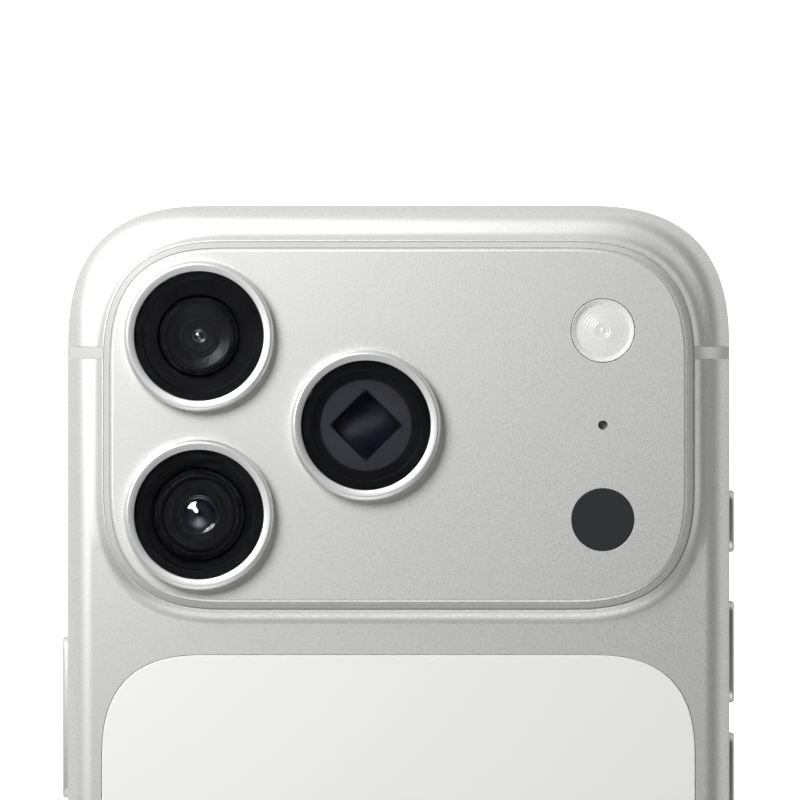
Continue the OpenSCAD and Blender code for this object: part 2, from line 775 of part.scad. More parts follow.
// The folded camera's case: a prism room over a sensor room, and a square sight hole
module tele_camera_case() {
    color("darkslategray") difference() {
        union() {
            tile(tele_at, tele_case, tele_case, [case_z, case_top]);
            post(tele_at, turret_r, [case_top - cut, turret_top]);
            post(tele_at, ring_bore_r - run, [turret_top - cut, barrel_top]);
        }
        tile(tele_at, tele_case - 5, tele_case - 7.5, [case_z + 2.3, turret_top - 1.4]);
        tile(tele_at, tele_case - 4, tele_case - 4, [case_z + 0.3, case_z + 1.7]);
        tile(tele_at, 6, 6, [case_z + 1.5, case_z + 2.5]);
        translate([tele_at[0], tele_at[1], turret_top - 2]) rotate([0, 0, 45])
            linear_extrude(barrel_top) square(5.6, center = true);
    }
}

// Lens barrel: stepped tube closed by its lens stack
module lens_barrel(at, r, z0) {
    color("black") difference() {
        union() {
            post(at, r, [z0, barrel_top - 0.6]);
            post(at, r - 0.5, [barrel_top - 1, barrel_top]);
        }
        translate([at[0], at[1], barrel_top - 1.2])
            cylinder(h = 1.3, r1 = r * 0.42, r2 = r * 0.78);
    }
}

module ultra_wide_barrel() { lens_barrel(ultra_at, ultra_barrel_r, case_z + 1.7); }
module wide_barrel() { lens_barrel(wide_at, wide_barrel_r, case_z + 2.2); }

// Frame that carries the wide camera's sensor from side to side
module sensor_stage() {
    color("darkgoldenrod") difference() {
        tile(wide_at, stage_side, stage_side, [case_z + 0.6, case_z + 0.95]);
        tile(wide_at, stage_side - 4, stage_side - 4, [case_z, case_z + 2]);
    }
}

module wide_sensor() {
    color("midnightblue") tile(wide_at, stage_side - 1.8, stage_side - 3,
        [case_z + 1.2, case_z + 1.6]);
}

// Four-bounce prism: a slanted block that folds the light path sideways and back
module tele_prism() {
    w = tele_case - 7.5 - 2 * run;
    z0 = case_z + 2.3 + run;
    z1 = turret_top - 1.4 - run;
    half = (tele_case - 5) / 2 - run;
    color("lightcyan") translate([tele_at[0], tele_at[1] + w / 2, 0]) rotate([90, 0, 0])
        linear_extrude(w) polygon([[-half, z0], [half - 1.6, z0], [half, z1], [-half + 1.6, z1]]);
}

module tele_sensor() {
    color("midnightblue") tile(tele_at, 9, 8, [case_z + 0.6, case_z + 1.2]);
}

// ---- Flash, microphones and depth scanner ----

module flash_lens() {
    color("lemonchiffon") post(flash_at, flash_r, [top_z - 0.55, top_z - 0.1]);
}

module flash_board() {
    color("whitesmoke") {
        post(flash_at, flash_r + 0.9, [room_z - 0.55, room_z - bond]);
        tile(flash_at, 3.6, 3.6, [room_z - 0.2, top_z - 0.6]);
    }
}

module scanner_window() {
    color("black") post(scanner_at, scanner_r, [top_z - 0.65, top_z - bond / 2]);
}

module scanner_module() {
    color("dimgray") {
        tile(scanner_at, 8.4, 8.4, [room_z - 3.4, room_z - bond]);
        post(scanner_at, scanner_r - 0.6, [room_z - 0.2, top_z - 0.7]);
    }
}

// Rear microphone under its hole, and the one behind the left sound holes
module microphones() {
    color("goldenrod") {
        tile(mic_at, 3.4, 2.6, [room_z - 1, room_z - bond]);
        block([-sound_end + 1.5, -sound_end + 4.9], [-cav_y + 0.35, -cav_y + 1.75],
            [rail_mid - 1.1, rail_mid + 1.1]);
    }
}

// ---- Display ----

// Cut through the display's layers in front of the two front sensors
module front_sights(z0, z1) {
    post(front_camera_at, 2.3, [z0, z1]);
    post(infrared_at, 2.3, [z0, z1]);
}

module front_glass() {
    color("black") difference() {
        union() {
            plate(front_w, front_l, front_r, 0.15, front_glass_t);
            plate(front_w - 0.3, front_l - 0.3, front_r - 0.15, 0, 0.3);
        }
        block([-ear_slot / 2, ear_slot / 2], [front_l / 2 - 0.5, front_l / 2 + 1], [-1, 1]);
    }
}

module display_panel() {
    color("midnightblue") difference() {
        plate(panel_w, panel_l, panel_r, panel_z, panel_z + panel_t);
        front_sights(0, plate_z);
    }
}

// Steel plate behind the panel, with two lugs that the end screws hold
module display_plate() {
    color("slategray") difference() {
        union() {
            plate(panel_w, panel_l, panel_r, plate_z, plate_z + panel_plate_t);
            for (s = [-1, 1]) tile([s * (end_screw_x + 0.1), -cav_y + 1], 2.2, 1.4,
                [plate_z + panel_plate_t / 2, rail_mid + 1.2]);
        }
        front_sights(plate_z - 1, plate_z + 1);
        for (s = [-1, 1]) end_bore(s * end_screw_x, screw_hole_r, [-cav_y - 1, -cav_y + 3]);
    }
}

module display_gasket() {
    color("dimgray") difference() {
        plate(front_w - 2 * bond, front_l - 2 * bond, front_r, front_glass_t + bond / 2,
            shelf_z - bond / 2);
        plate(2 * cav_x + 2 * bond, 2 * cav_y + 2 * bond, cav_r + bond, 0, shelf_z + 1);
        block([-ear_slot / 2 - bond, ear_slot / 2 + bond], [cav_y - 1, half_l], [0, shelf_z + 1]);
    }
}

// Bracket behind the front window, with the case of the front camera
module front_sensor_housing() {
    color("slategray") difference() {
        union() {
            block([-11, 11], [island_y - 3.4, island_y + 3.4], [chamber_z, chamber_z + 0.3]);
            tile(front_camera_at, 6.4, 6.4, [chamber_z + 0.15, chamber_z + 3.9]);
        }
        post(front_camera_at, 1.9 + run, [chamber_z - 1, chamber_z + 3.4]);
        post(infrared_at, 1.9, [chamber_z - 1, chamber_z + 1]);
    }
}

module front_camera_barrel() {
    color("black") difference() {
        post(front_camera_at, 1.9, [chamber_z + 0.1, chamber_z + 2.9]);
        translate([front_camera_at[0], front_camera_at[1], chamber_z])
            cylinder(h = 0.9, r1 = 1.3, r2 = 0.7);
    }
}

module infrared_module() {
    color("dimgray") {
        tile(infrared_at, 6.4, 5.4, [chamber_z + 0.3 + bond, chamber_z + 3.4]);
        post(infrared_at, 1.6, [chamber_z + 0.05, chamber_z + 0.6]);
    }
}

// ---- Speakers and vibration motor ----

// Earpiece box with a spout that leads to the slot above the glass
module earpiece_enclosure() {
    color("dimgray") difference() {
        union() {
            block([-ear_half_w, ear_half_w], [ear_y0, ear_y1], [inside_z, inside_z + 3]);
            block([-2.6, 2.6], [ear_y1 - 1, cav_y - 0.3], [inside_z + 0.4, inside_z + 1.9]);
        }
        block([0.5 - ear_half_w, ear_half_w - 0.5], [ear_y0 + 0.5, ear_y1 - 0.5],
            [inside_z + 0.4, inside_z + 2.6]);
        block([-2.2, 2.2], [ear_y1 - 2, cav_y + 1], [inside_z + 0.8, inside_z + 1.5]);
    }
}

module earpiece_diaphragm() {
    color("silver") block([0.9 - ear_half_w, ear_half_w - 0.9], [ear_y0 + 0.8, ear_y1 - 0.8],
        [inside_z + 1.85, inside_z + 2.1]);
}

// Fine meshes: two behind the sound holes and one in the earpiece slot
module acoustic_meshes() {
    color("gray") {
        for (s = [0, 1]) mirror([s, 0, 0])
            block([sound_start - 1, sound_end + 0.9], [-cav_y + bond, -cav_y + 0.25],
                [rail_mid - 1.1, rail_mid + 1.1]);
        block([-ear_slot / 2 + bond, ear_slot / 2 - bond], [front_l / 2 - 0.45, front_l / 2],
            [0.3, 0.6]);
    }
}

module speaker_plan(margin) {
    intersection() {
        translate([sound_start + margin, -half_l]) square([half_w, bottom_y1 + half_l - margin]);
        inner_plan(0.45 + margin);
    }
}

// Loudspeaker box: hollow, with a ledge for the diaphragm and a mouth behind the sound holes
module speaker_enclosure() {
    z0 = inside_z + 0.45;
    color("dimgray") difference() {
        translate([0, 0, z0]) linear_extrude(pack_top - z0) speaker_plan(0);
        translate([0, 0, z0 + 0.4]) linear_extrude(0.7) speaker_plan(3);
        translate([0, 0, z0 + 1.6]) linear_extrude(pack_top - z0 - 2) speaker_plan(0.5);
        tile([23.2, bottom_y1 - 9.5], 11, 11, [z0 + 0.6, z0 + 2]);
        block([sound_start + 1, sound_end], [-half_l, -cav_y + 2], [rail_mid - 0.6, rail_mid + 0.8]);
    }
}

module speaker_diaphragm() {
    z0 = inside_z + 0.45 + 1.6 + speaker_travel + 0.1;
    color("silver") tile([23.2, bottom_y1 - 9.5], 13, 13, [z0, z0 + 0.35]);
}

module motor_case() {
    color("silver") difference() {
        motor_box(0);
        motor_box(0.4);
    }
}

module motor_box(margin) {
    x0 = -cav_x + 2.1;
    block([x0 + margin, x0 + motor_l - margin],
        [bottom_y1 - motor_w + margin, bottom_y1 - margin], [inside_z + margin, pack_top - margin]);
}

module motor_mass() {
    x0 = -cav_x + 2.1;
    end_gap = 0.4 + motor_travel + run;
    gap = 0.4 + run;
    color("dimgray") block([x0 + end_gap, x0 + motor_l - end_gap],
        [bottom_y1 - motor_w + gap, bottom_y1 - gap], [inside_z + gap, pack_top - gap]);
}

// ---- Port ----

// Port shell with two ears that its screws hold
module port_shell() {
    color("silver") difference() {
        union() {
            end_pill(shell_out_w, shell_out_h, [shell_y0, shell_y1]);
            block([-12.4, 12.4], [-cav_y + 1.9, -cav_y + 4.4], [deck_z, deck_z + 0.3]);
        }
        end_pill(port_w, port_h, [shell_y0 - 1, shell_y1 + 1]);
        for (p = port_bosses) post(p, screw_hole_r, [deck_z - 1, deck_z + 1]);
    }
}

// Contact tongue and the moulded block that closes the shell
module port_tongue() {
    color("black") {
        end_pill(port_w - 2 * fit, port_h - 2 * fit, [shell_y1 - 1.4, shell_y1 + 2]);
        block([-tongue_w / 2, tongue_w / 2], [shell_y0 + 1.1, shell_y1],
            [rail_mid - tongue_t / 2, rail_mid + tongue_t / 2]);
    }
}

module end_screws() {
    color("silver") for (s = [-1, 1]) difference() {
        union() {
            end_bore(s * end_screw_x, 0.85, [-half_l + 0.15, -half_l + 0.85]);
            end_bore(s * end_screw_x, screw_r, [-half_l + 0.5, -cav_y + 1.6]);
        }
        end_bore(s * end_screw_x, 0.4, [-half_l, -half_l + 0.5]);
    }
}

// ---- Flexible circuits and switches ----

// Three flat leads: port to board, battery to board and display to board
module flex_circuits() {
    z = inside_z + 0.05;
    color("saddlebrown") {
        block([board_arm_x0 + 1, board_arm_x0 + 4], [shell_y1 + 2.2, board_end + 1], [z, z + 0.2]);
        block([0, board_arm_x0 + 2], [shell_y1 + 2.2, shell_y1 + 5.2], [z, z + 0.2]);
        block([battery_x1 - 1.8, board_arm_x0 + 3], [battery_y1 - 11, battery_y1 - 7.2],
            [pack_top - 1.1, pack_top - 0.9]);
        block([board_arm_x0 + 1, board_arm_x0 + 3], [battery_y1 - 11, battery_y1 - 7.2],
            [board_top + bond, pack_top - 1]);
        block([board_x1 - 4, board_x1], [tray_y + 12, tray_y + 20], [chamber_z + 0.02, board_z - bond]);
    }
}

// Switch strip behind a rail, with one dome behind each key
module switch_strip(y0, y1, keys) {
    block([switch_x, switch_x + 0.3], [y0, y1], [rail_mid - 1.3, rail_mid + 1.3]);
    for (y = keys) translate([switch_x + 0.2, y, rail_mid]) rotate([0, 90, 0])
        cylinder(h = dome_x - switch_x - 0.2, r = 1.1);
}

module key_switches() {
    color("goldenrod") {
        switch_strip(volume_down_y - 4, action_y + 3.5, [action_y, volume_up_y, volume_down_y]);
        mirror([1, 0, 0]) switch_strip(side_y - 5, side_y + 5, [side_y]);
        mirror([1, 0, 0]) switch_strip(camera_y - 5, camera_y + 5, [camera_y]);
    }
}

// ---- Keys ----

// Key: a cap through the rail, a flange behind it and a nub over the switch
module key(y, len, proud) {
    rail_pill(len, key_h, y, [flange_x + flange_t / 2, half_w + proud - 0.2]);
    rail_pill(len - 0.4, key_h - 0.4, y, [half_w - 1, half_w + proud]);
    rail_pill(len + 2 * flange_rim - run, key_h + 2 * flange_rim - run, y, [flange_x, flange_x + flange_t]);
    translate([flange_x - 0.25, y, rail_mid]) rotate([0, 90, 0]) cylinder(h = 0.5, r = 0.6);
}

module action_key() { color("gainsboro") key(action_y, action_len, key_proud); }
module volume_up_key() { color("gainsboro") key(volume_up_y, volume_len, key_proud); }
module volume_down_key() { color("gainsboro") key(volume_down_y, volume_len, key_proud); }
module side_key() { color("gainsboro") mirror([1, 0, 0]) key(side_y, side_len, key_proud); }
module camera_key() { color("lightgray") mirror([1, 0, 0]) key(camera_y, camera_len, 0); }

// ---- SIM tray ----

// Tray with a card pocket on a thin rim, and a pin hole in its face plate
module sim_tray() {
    x0 = cav_x - tray_depth;
    card_x = x0 + tray_end;
    color("gainsboro") difference() {
        union() {
            rail_pill(tray_face_len, tray_face_h, tray_y, [pocket_x + bond, half_w]);
            block([x0, pocket_x + cut], [tray_y - tray_w / 2, tray_y + tray_w / 2],
                [rail_mid - tray_t / 2, rail_mid + tray_t / 2]);
        }
        block([card_x, card_x + card_w], [tray_y - card_len / 2, tray_y + card_len / 2],
            [rail_mid - tray_t / 2 + 0.4, rail_mid + tray_t]);
        block([card_x + 0.6, card_x + card_w - 0.6],
            [tray_y - card_len / 2 + 0.6, tray_y + card_len / 2 - 0.6],
            [rail_mid - tray_t, rail_mid + tray_t]);
        translate([pocket_x - 0.4, tray_y - tray_face_len / 2 + 2, rail_mid]) rotate([0, 90, 0])
            cylinder(h = 3, r = 0.45);
    }
}

// Reader cage on the board, open towards the rail
module sim_reader() {
    x0 = cav_x - tray_depth - 1;
    x1 = cav_x - 0.4;
    color("silver") difference() {
        block([x0, x1], [tray_y - tray_w / 2 - 1.1, tray_y + tray_w / 2 + 1.1],
            [board_top + bond, rail_mid + tray_t / 2 + 0.5]);
        block([x0 + 0.4, x1 + 1], [tray_y - tray_w / 2 - 0.12, tray_y + tray_w / 2 + 0.12],
            [rail_mid - tray_t / 2 - 0.12, rail_mid + tray_t / 2 + 0.12]);
    }
}

housing();
antenna_inserts();
back_glass();
back_glass_adhesive();
charging_coil();
magnet_ring();
charging_shield();
battery();
vapour_chamber();
logic_board();
processor_package();
board_shield();
internal_screws();
camera_bracket();
ultra_wide_trim_ring();
wide_trim_ring();
tele_trim_ring();
ultra_wide_glass();
wide_glass();
tele_glass();
ultra_wide_camera_case();
wide_camera_case();
tele_camera_case();
ultra_wide_barrel();
wide_barrel();
tele_prism();
tele_sensor();
sensor_stage();
wide_sensor();
flash_lens();
flash_board();
scanner_window();
scanner_module();
microphones();
front_glass();
display_panel();
display_plate();
display_gasket();
front_sensor_housing();
front_camera_barrel();
infrared_module();
earpiece_enclosure();
earpiece_diaphragm();
acoustic_meshes();
speaker_enclosure();
speaker_diaphragm();
motor_case();
motor_mass();
port_shell();
port_tongue();
end_screws();
flex_circuits();
key_switches();
action_key();
volume_up_key();
volume_down_key();
side_key();
camera_key();
sim_tray();
sim_reader();
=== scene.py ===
import math

import bmesh
import bpy
import numpy as np
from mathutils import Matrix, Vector
from mathutils.geometry import delaunay_2d_cdt


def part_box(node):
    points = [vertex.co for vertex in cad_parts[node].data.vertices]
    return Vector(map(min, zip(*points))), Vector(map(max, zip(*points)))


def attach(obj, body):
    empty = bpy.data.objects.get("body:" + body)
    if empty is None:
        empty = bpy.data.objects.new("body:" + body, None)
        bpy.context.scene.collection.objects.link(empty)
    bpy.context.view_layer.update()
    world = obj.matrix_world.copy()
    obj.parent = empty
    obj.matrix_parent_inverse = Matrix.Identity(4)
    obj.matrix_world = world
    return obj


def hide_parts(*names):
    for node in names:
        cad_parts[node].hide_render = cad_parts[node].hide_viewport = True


bl_info = {
    "name": "Slim smartphone looks",
    "version": (1, 0, 0),
    "blender": (4, 5, 0),
    "location": "3D View > Sidebar > Phone",
    "description": "Builds the visible surfaces and finishes of a slim metal smartphone round its frame",
    "category": "Object",
}

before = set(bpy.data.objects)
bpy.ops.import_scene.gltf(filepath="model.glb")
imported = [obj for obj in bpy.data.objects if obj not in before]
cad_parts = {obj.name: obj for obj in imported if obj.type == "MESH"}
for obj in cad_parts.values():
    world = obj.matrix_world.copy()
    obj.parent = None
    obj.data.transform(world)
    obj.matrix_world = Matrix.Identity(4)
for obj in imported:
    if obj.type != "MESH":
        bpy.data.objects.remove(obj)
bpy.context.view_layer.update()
MM = 0.001
CORNER_POINTS = 72
ROUND = 96
FINE_ROUND = 120
CAMERAS = ("ultra_wide", "wide", "tele")


# ---- Places read from the frame, in millimetres ----

def corners(node):
    """Lowest and highest corner of a CAD node."""
    low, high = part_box(node)
    return np.array(low) / MM, np.array(high) / MM


def middle(node):
    """Centre of a CAD node's box."""
    low, high = corners(node)
    return (low + high) / 2


def extent(node):
    """Size of a CAD node's box along each axis."""
    low, high = corners(node)
    return high - low


def disc(node):
    """Plan centre, radius, foot and top of a round CAD node."""
    low, high = corners(node)
    return (low + high)[:2] / 2, float(high[0] - low[0]) / 2, float(low[2]), float(high[2])


BODY_LOW, BODY_HIGH = corners("housing")
GLASS_LOW, GLASS_HIGH = corners("back_glass")
BACK_Z = float(GLASS_HIGH[2])
TOP_Z = float(BODY_HIGH[2])
RIM_Z = float(BODY_LOW[2])
RAIL_Z = (RIM_Z + BACK_Z) / 2
HALF_W = float(BODY_HIGH[0])
HALF_L = float(BODY_HIGH[1])
PLATEAU_GAP = HALF_W - float(GLASS_HIGH[0])
FOOT_W = 2 * float(GLASS_HIGH[0])


# ---- Curves and grids ----

def outline(width, length, reach, power, at=(0.0, 0.0), straight=10):
    """Closed plan curve of a rectangle with soft corners, and its outward normals.
    A corner is the curve |x|^power + |y|^power = reach^power, spaced evenly along its arc; a quarter runs
    up the side, round the corner and along the end, and the other three quarters are its mirror images."""
    t = np.linspace(0, math.pi / 2, 4001)
    c, s = np.cos(t).clip(0), np.sin(t).clip(0)
    point = np.stack([reach * c ** (2 / power), reach * s ** (2 / power)], 1)
    normal = np.stack([c ** (2 - 2 / power), s ** (2 - 2 / power)], 1)
    arc = np.r_[0, np.cumsum(np.hypot(*np.diff(point, axis=0).T))]
    stops = np.linspace(0, arc[-1], CORNER_POINTS)
    point = np.stack([np.interp(stops, arc, point[:, k]) for k in (0, 1)], 1)
    normal = np.stack([np.interp(stops, arc, normal[:, k]) for k in (0, 1)], 1)
    normal /= np.linalg.norm(normal, axis=1)[:, None]
    x0, y0 = width / 2 - reach, length / 2 - reach
    side = np.linspace(0, y0, straight, endpoint=False)
    end = np.linspace(x0, 0, straight + 1)[1:]
    quarter = np.concatenate([np.stack([np.full_like(side, width / 2), side], 1), point + [x0, y0],
                              np.stack([end, np.full_like(end, length / 2)], 1)])
    facing = np.concatenate([np.tile([1.0, 0.0], (len(side), 1)), normal, np.tile([0.0, 1.0], (len(end), 1))])
    turns = (((1, 1), 1), ((-1, 1), -1), ((-1, -1), 1), ((1, -1), -1))
    loop = np.concatenate([(quarter * sign)[::step][:-1] for sign, step in turns])
    facing = np.concatenate([(facing * sign)[::step][:-1] for sign, step in turns])
    return loop + np.array(at), facing


def arc(at, radius, start, stop, count):
    """Points (inset, height) on a circle's arc, its angles in degrees."""
    t = np.radians(np.linspace(start, stop, count))
    return np.stack([at[0] + radius * np.cos(t), at[1] + radius * np.sin(t)], 1)


def line(*points):
    """Profile points as an array."""
    return np.array(points, float)


def carried(curve, profile):
    """Grid of a profile carried round a closed curve: a profile point (inset, height) lies at the
    curve's point moved inwards along its normal by the inset, at that height."""
    loop, facing = curve
    plan = loop[None] - profile[:, :1, None] * facing[None]
    height = np.broadcast_to(profile[:, 1][:, None, None], plan.shape[:2] + (1,))
    return np.concatenate([plan, height], 2)


def turned(at, profile, count=ROUND, lobes=0, depth=0.0):
    """Grid of a profile turned about an upright axis: radius r at angle a gives
    (r cos a, r sin a), and lobes make the radius swell by depth times cos(lobes a)."""
    angle = np.arange(count) * 2 * math.pi / count
    swell = 1 + depth * np.cos(lobes * angle)[None]
    radius = profile[:, :1] * swell
    height = np.broadcast_to(profile[:, 1:2], radius.shape)
    return np.stack([at[0] + radius * np.cos(angle), at[1] + radius * np.sin(angle), height], 2)


def pill(length, height, count=64):
    """Stadium loop: a circle's points, its two halves drawn apart along the first axis."""
    angle = np.arange(count) * 2 * math.pi / count
    c = np.round(np.cos(angle), 12)
    return np.stack([np.sign(c) * (length - height) / 2 + height / 2 * c, height / 2 * np.sin(angle)], 1)


def pill_rows(rows, axis, at, turn=1):
    """Grid of stadium loops one behind another: each row is (distance, length, height). Axis 0 carries
    them along X with their length along Y, axis 1 along Y with their length along X."""
    grid = []
    for distance, length, height in rows:
        loop = pill(length, height)
        along = np.full(len(loop), distance * turn)
        if axis == 0:
            grid.append(np.stack([along, at[0] + loop[:, 0], at[1] + loop[:, 1]], 1))
        else:
            grid.append(np.stack([at[0] + loop[:, 0], along, at[1] + loop[:, 1]], 1))
    return np.array(grid)


class Surface:
    """Grids, caps and flat panels gathered into one closed mesh."""

    def __init__(self):
        self.points, self.faces, self.count = [], [], 0

    def add(self, points):
        start = self.count
        self.points.append(points.reshape(-1, 3))
        self.count += len(self.points[-1])
        return start

    def grid(self, points, close_rows=False):
        """Quads between the grid's rows; columns close on themselves, and rows too if asked."""
        rows, columns = points.shape[:2]
        index = self.add(points) + np.arange(rows * columns).reshape(rows, columns)
        side = np.roll(index, -1, 1)
        if close_rows:
            up, up_side = np.roll(index, -1, 0), np.roll(side, -1, 0)
            quads = np.stack([index, side, up_side, up], 2)
        else:
            quads = np.stack([index[:-1], side[:-1], side[1:], index[1:]], 2)
        self.faces += quads.reshape(-1, 4).tolist()
        return self

    def cap(self, ring):
        """One flat face over a ring of points."""
        start = self.add(ring)
        self.faces.append(list(range(start, start + len(ring))))
        return self

    def capped(self, points):
        """A grid with both end rows closed."""
        return self.grid(points).cap(points[0]).cap(points[-1])

    def panel(self, outer, holes, height):
        """Flat panel between an outer ring and the rings of its holes, cut into triangles."""
        rings = [outer] + holes
        plan = np.concatenate([r[:, :2] for r in rings])
        owner = np.concatenate([np.full(len(r), k) for k, r in enumerate(rings)])
        edges, start = [], 0
        for r in rings:
            index = np.arange(start, start + len(r))
            edges += np.c_[index, np.roll(index, -1)].tolist()
            start += len(r)
        found = delaunay_2d_cdt([Vector(p) for p in plan.tolist()], edges, [], 0, 1e-9, False)
        if len(found[0]) != len(plan):
            raise RuntimeError("two rings of a flat panel touch")
        triangles = np.array(found[2])
        own = owner[triangles]
        inside = (own[:, 0] == own[:, 1]) & (own[:, 1] == own[:, 2]) & (own[:, 0] > 0)
        start = self.add(np.c_[plan, np.full(len(plan), height)])
        self.faces += (triangles[~inside] + start).tolist()
        return self

    def build(self, name, material=None, sharp=32.0, even=False):
        """Mesh object at the origin: doubles merged, faces outwards, edges above an angle kept sharp."""
        mesh = bpy.data.meshes.new(name)
        mesh.from_pydata((np.concatenate(self.points) * MM).tolist(), [], self.faces)
        work = bmesh.new()
        work.from_mesh(mesh)
        bmesh.ops.remove_doubles(work, verts=work.verts, dist=2e-7)
        bmesh.ops.dissolve_degenerate(work, edges=work.edges, dist=1e-8)
        bmesh.ops.recalc_face_normals(work, faces=work.faces)
        work.to_mesh(mesh)
        work.free()
        return dressed(mesh, name, material, sharp, even)


def dressed(mesh, name, material, sharp=32.0, even=False):
    """Object for a finished mesh in a named material, shaded smooth apart from its sharp edges."""
    mesh.polygons.foreach_set("use_smooth", np.ones(len(mesh.polygons), bool))
    mesh.set_sharp_from_angle(angle=math.radians(sharp))
    piece = bpy.data.objects.new(name, mesh)
    bpy.context.scene.collection.objects.link(piece)
    if material is not None:
        mesh.materials.clear()
        mesh.materials.append(bpy.data.materials[material])
    if even:
        finish = piece.modifiers.new("even_shading", "WEIGHTED_NORMAL")
        finish.mode = "FACE_AREA"
        finish.weight = 100
        finish.keep_sharp = True
    return piece


def cut(mesh, surface, operation="DIFFERENCE"):
    """Mesh after one exact cut by a closed surface; the surface itself is thrown away."""
    base = bpy.data.objects.new("work_base", mesh)
    tool = surface.build("work_tool")
    bpy.context.scene.collection.objects.link(base)
    step = base.modifiers.new("cut", "BOOLEAN")
    step.operation = operation
    step.solver = "MANIFOLD"
    step.object = tool
    graph = bpy.context.evaluated_depsgraph_get()
    result = bpy.data.meshes.new_from_object(base.evaluated_get(graph), depsgraph=graph)
    tool_mesh = tool.data
    bpy.data.objects.remove(base)
    bpy.data.objects.remove(tool)
    bpy.data.meshes.remove(tool_mesh)
    if not len(result.polygons):
        raise RuntimeError("a cut left nothing")
    return result


def block(low, high):
    """Closed box between two corners, as two square rings with caps."""
    x0, y0, z0 = low
    x1, y1, z1 = high
    ring = np.array([[x0, y0], [x1, y0], [x1, y1], [x0, y1]], float)
    rows = np.stack([np.c_[ring, np.full(4, z)] for z in (z0, z1)])
    return Surface().capped(rows)


def finished(piece, body, slot, *nodes):
    """Puts a piece on its body and hides the CAD nodes that it stands for; the slot argument is not used."""
    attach(piece, body)
    if nodes:
        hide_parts(*nodes)


# ---- Shader groups and materials ----

def new_group(name, inputs, outputs):
    """Empty shader group with its sockets; returns the group and its two end nodes."""
    group = bpy.data.node_groups.new(name, "ShaderNodeTree")
    for label, kind, value in inputs:
        socket = group.interface.new_socket(label, in_out="INPUT", socket_type=kind)
        if value is not None:
            socket.default_value = value
    for label, kind in outputs:
        group.interface.new_socket(label, in_out="OUTPUT", socket_type=kind)
    return group, group.nodes.new("NodeGroupInput"), group.nodes.new("NodeGroupOutput")


def maths(nodes, links, operation, a, b=None, clamp=False):
    """Math node; a and b are sockets or numbers. Returns its result socket."""
    node = nodes.new("ShaderNodeMath")
    node.operation = operation
    node.use_clamp = clamp
    for k, value in enumerate((a, b)):
        if value is None:
            continue
        if isinstance(value, (int, float)):
            node.inputs[k].default_value = value
        else:
            links.new(value, node.inputs[k])
    return node.outputs[0]


def finish_group():
    """Fine grain over broad, faint clouding: two noises blend the two colours and the two roughnesses,
    and the fine one is the height."""
    group, start, end = new_group(
        "surface_finish",
        [("Vector", "NodeSocketVector", None), ("Grain Scale", "NodeSocketFloat", 9000.0),
         ("Cloud Scale", "NodeSocketFloat", 60.0), ("Grain Share", "NodeSocketFloat", 0.5),
         ("Color A", "NodeSocketColor", (0.8, 0.8, 0.8, 1)),
         ("Color B", "NodeSocketColor", (0.7, 0.7, 0.7, 1)),
         ("Roughness A", "NodeSocketFloat", 0.4), ("Roughness B", "NodeSocketFloat", 0.5)],
        [("Color", "NodeSocketColor"), ("Roughness", "NodeSocketFloat"), ("Height", "NodeSocketFloat")])
    nodes, links = group.nodes, group.links
    grain = nodes.new("ShaderNodeTexNoise")
    grain.inputs["Detail"].default_value = 2.0
    cloud = nodes.new("ShaderNodeTexNoise")
    cloud.inputs["Detail"].default_value = 3.0
    for texture, scale in ((grain, "Grain Scale"), (cloud, "Cloud Scale")):
        links.new(start.outputs["Vector"], texture.inputs["Vector"])
        links.new(start.outputs[scale], texture.inputs["Scale"])
    share = start.outputs["Grain Share"]
    fine = maths(nodes, links, "MULTIPLY", grain.outputs[0], share)
    rest = maths(nodes, links, "SUBTRACT", 1.0, share)
    broad = maths(nodes, links, "MULTIPLY", cloud.outputs[0], rest)
    factor = maths(nodes, links, "ADD", fine, broad, clamp=True)
    spread = nodes.new("ShaderNodeMapRange")
    spread.inputs["From Min"].default_value = 0.3
    spread.inputs["From Max"].default_value = 0.7
    links.new(factor, spread.inputs["Value"])
    colour = nodes.new("ShaderNodeMix")
    colour.data_type = "RGBA"
    links.new(spread.outputs[0], colour.inputs["Factor"])
    links.new(start.outputs["Color A"], colour.inputs[6])
    links.new(start.outputs["Color B"], colour.inputs[7])
    rough = nodes.new("ShaderNodeMix")
    links.new(spread.outputs[0], rough.inputs[0])
    links.new(start.outputs["Roughness A"], rough.inputs[2])
    links.new(start.outputs["Roughness B"], rough.inputs[3])
    links.new(colour.outputs[2], end.inputs["Color"])
    links.new(rough.outputs[0], end.inputs["Roughness"])
    links.new(grain.outputs[0], end.inputs["Height"])
    return group


def stripe_group():
    """Rows of bars: a bar wherever the remainder of the coordinate along an axis is under the bar's
    share of the pitch, blended between two colours."""
    group, start, end = new_group(
        "bars",
        [("Vector", "NodeSocketVector", None), ("Pitch", "NodeSocketFloat", 0.0005),
         ("Share", "NodeSocketFloat", 0.5), ("Color A", "NodeSocketColor", (0, 0, 0, 1)),
         ("Color B", "NodeSocketColor", (1, 1, 1, 1))],
        [("Color", "NodeSocketColor")])
    nodes, links = group.nodes, group.links
    split = nodes.new("ShaderNodeSeparateXYZ")
    links.new(start.outputs["Vector"], split.inputs[0])
    turns = maths(nodes, links, "DIVIDE", split.outputs[0], start.outputs["Pitch"])
    part = maths(nodes, links, "FRACT", turns)
    mask = maths(nodes, links, "LESS_THAN", part, start.outputs["Share"])
    colour = nodes.new("ShaderNodeMix")
    colour.data_type = "RGBA"
    links.new(mask, colour.inputs[0])
    links.new(start.outputs["Color A"], colour.inputs[6])
    links.new(start.outputs["Color B"], colour.inputs[7])
    links.new(colour.outputs[2], end.inputs["Color"])
    return group


def tinted(colour, factor):
    """A colour darkened or lightened by a factor, with alpha one."""
    return tuple(min(1.0, c * factor) for c in colour[:3]) + (1.0,)


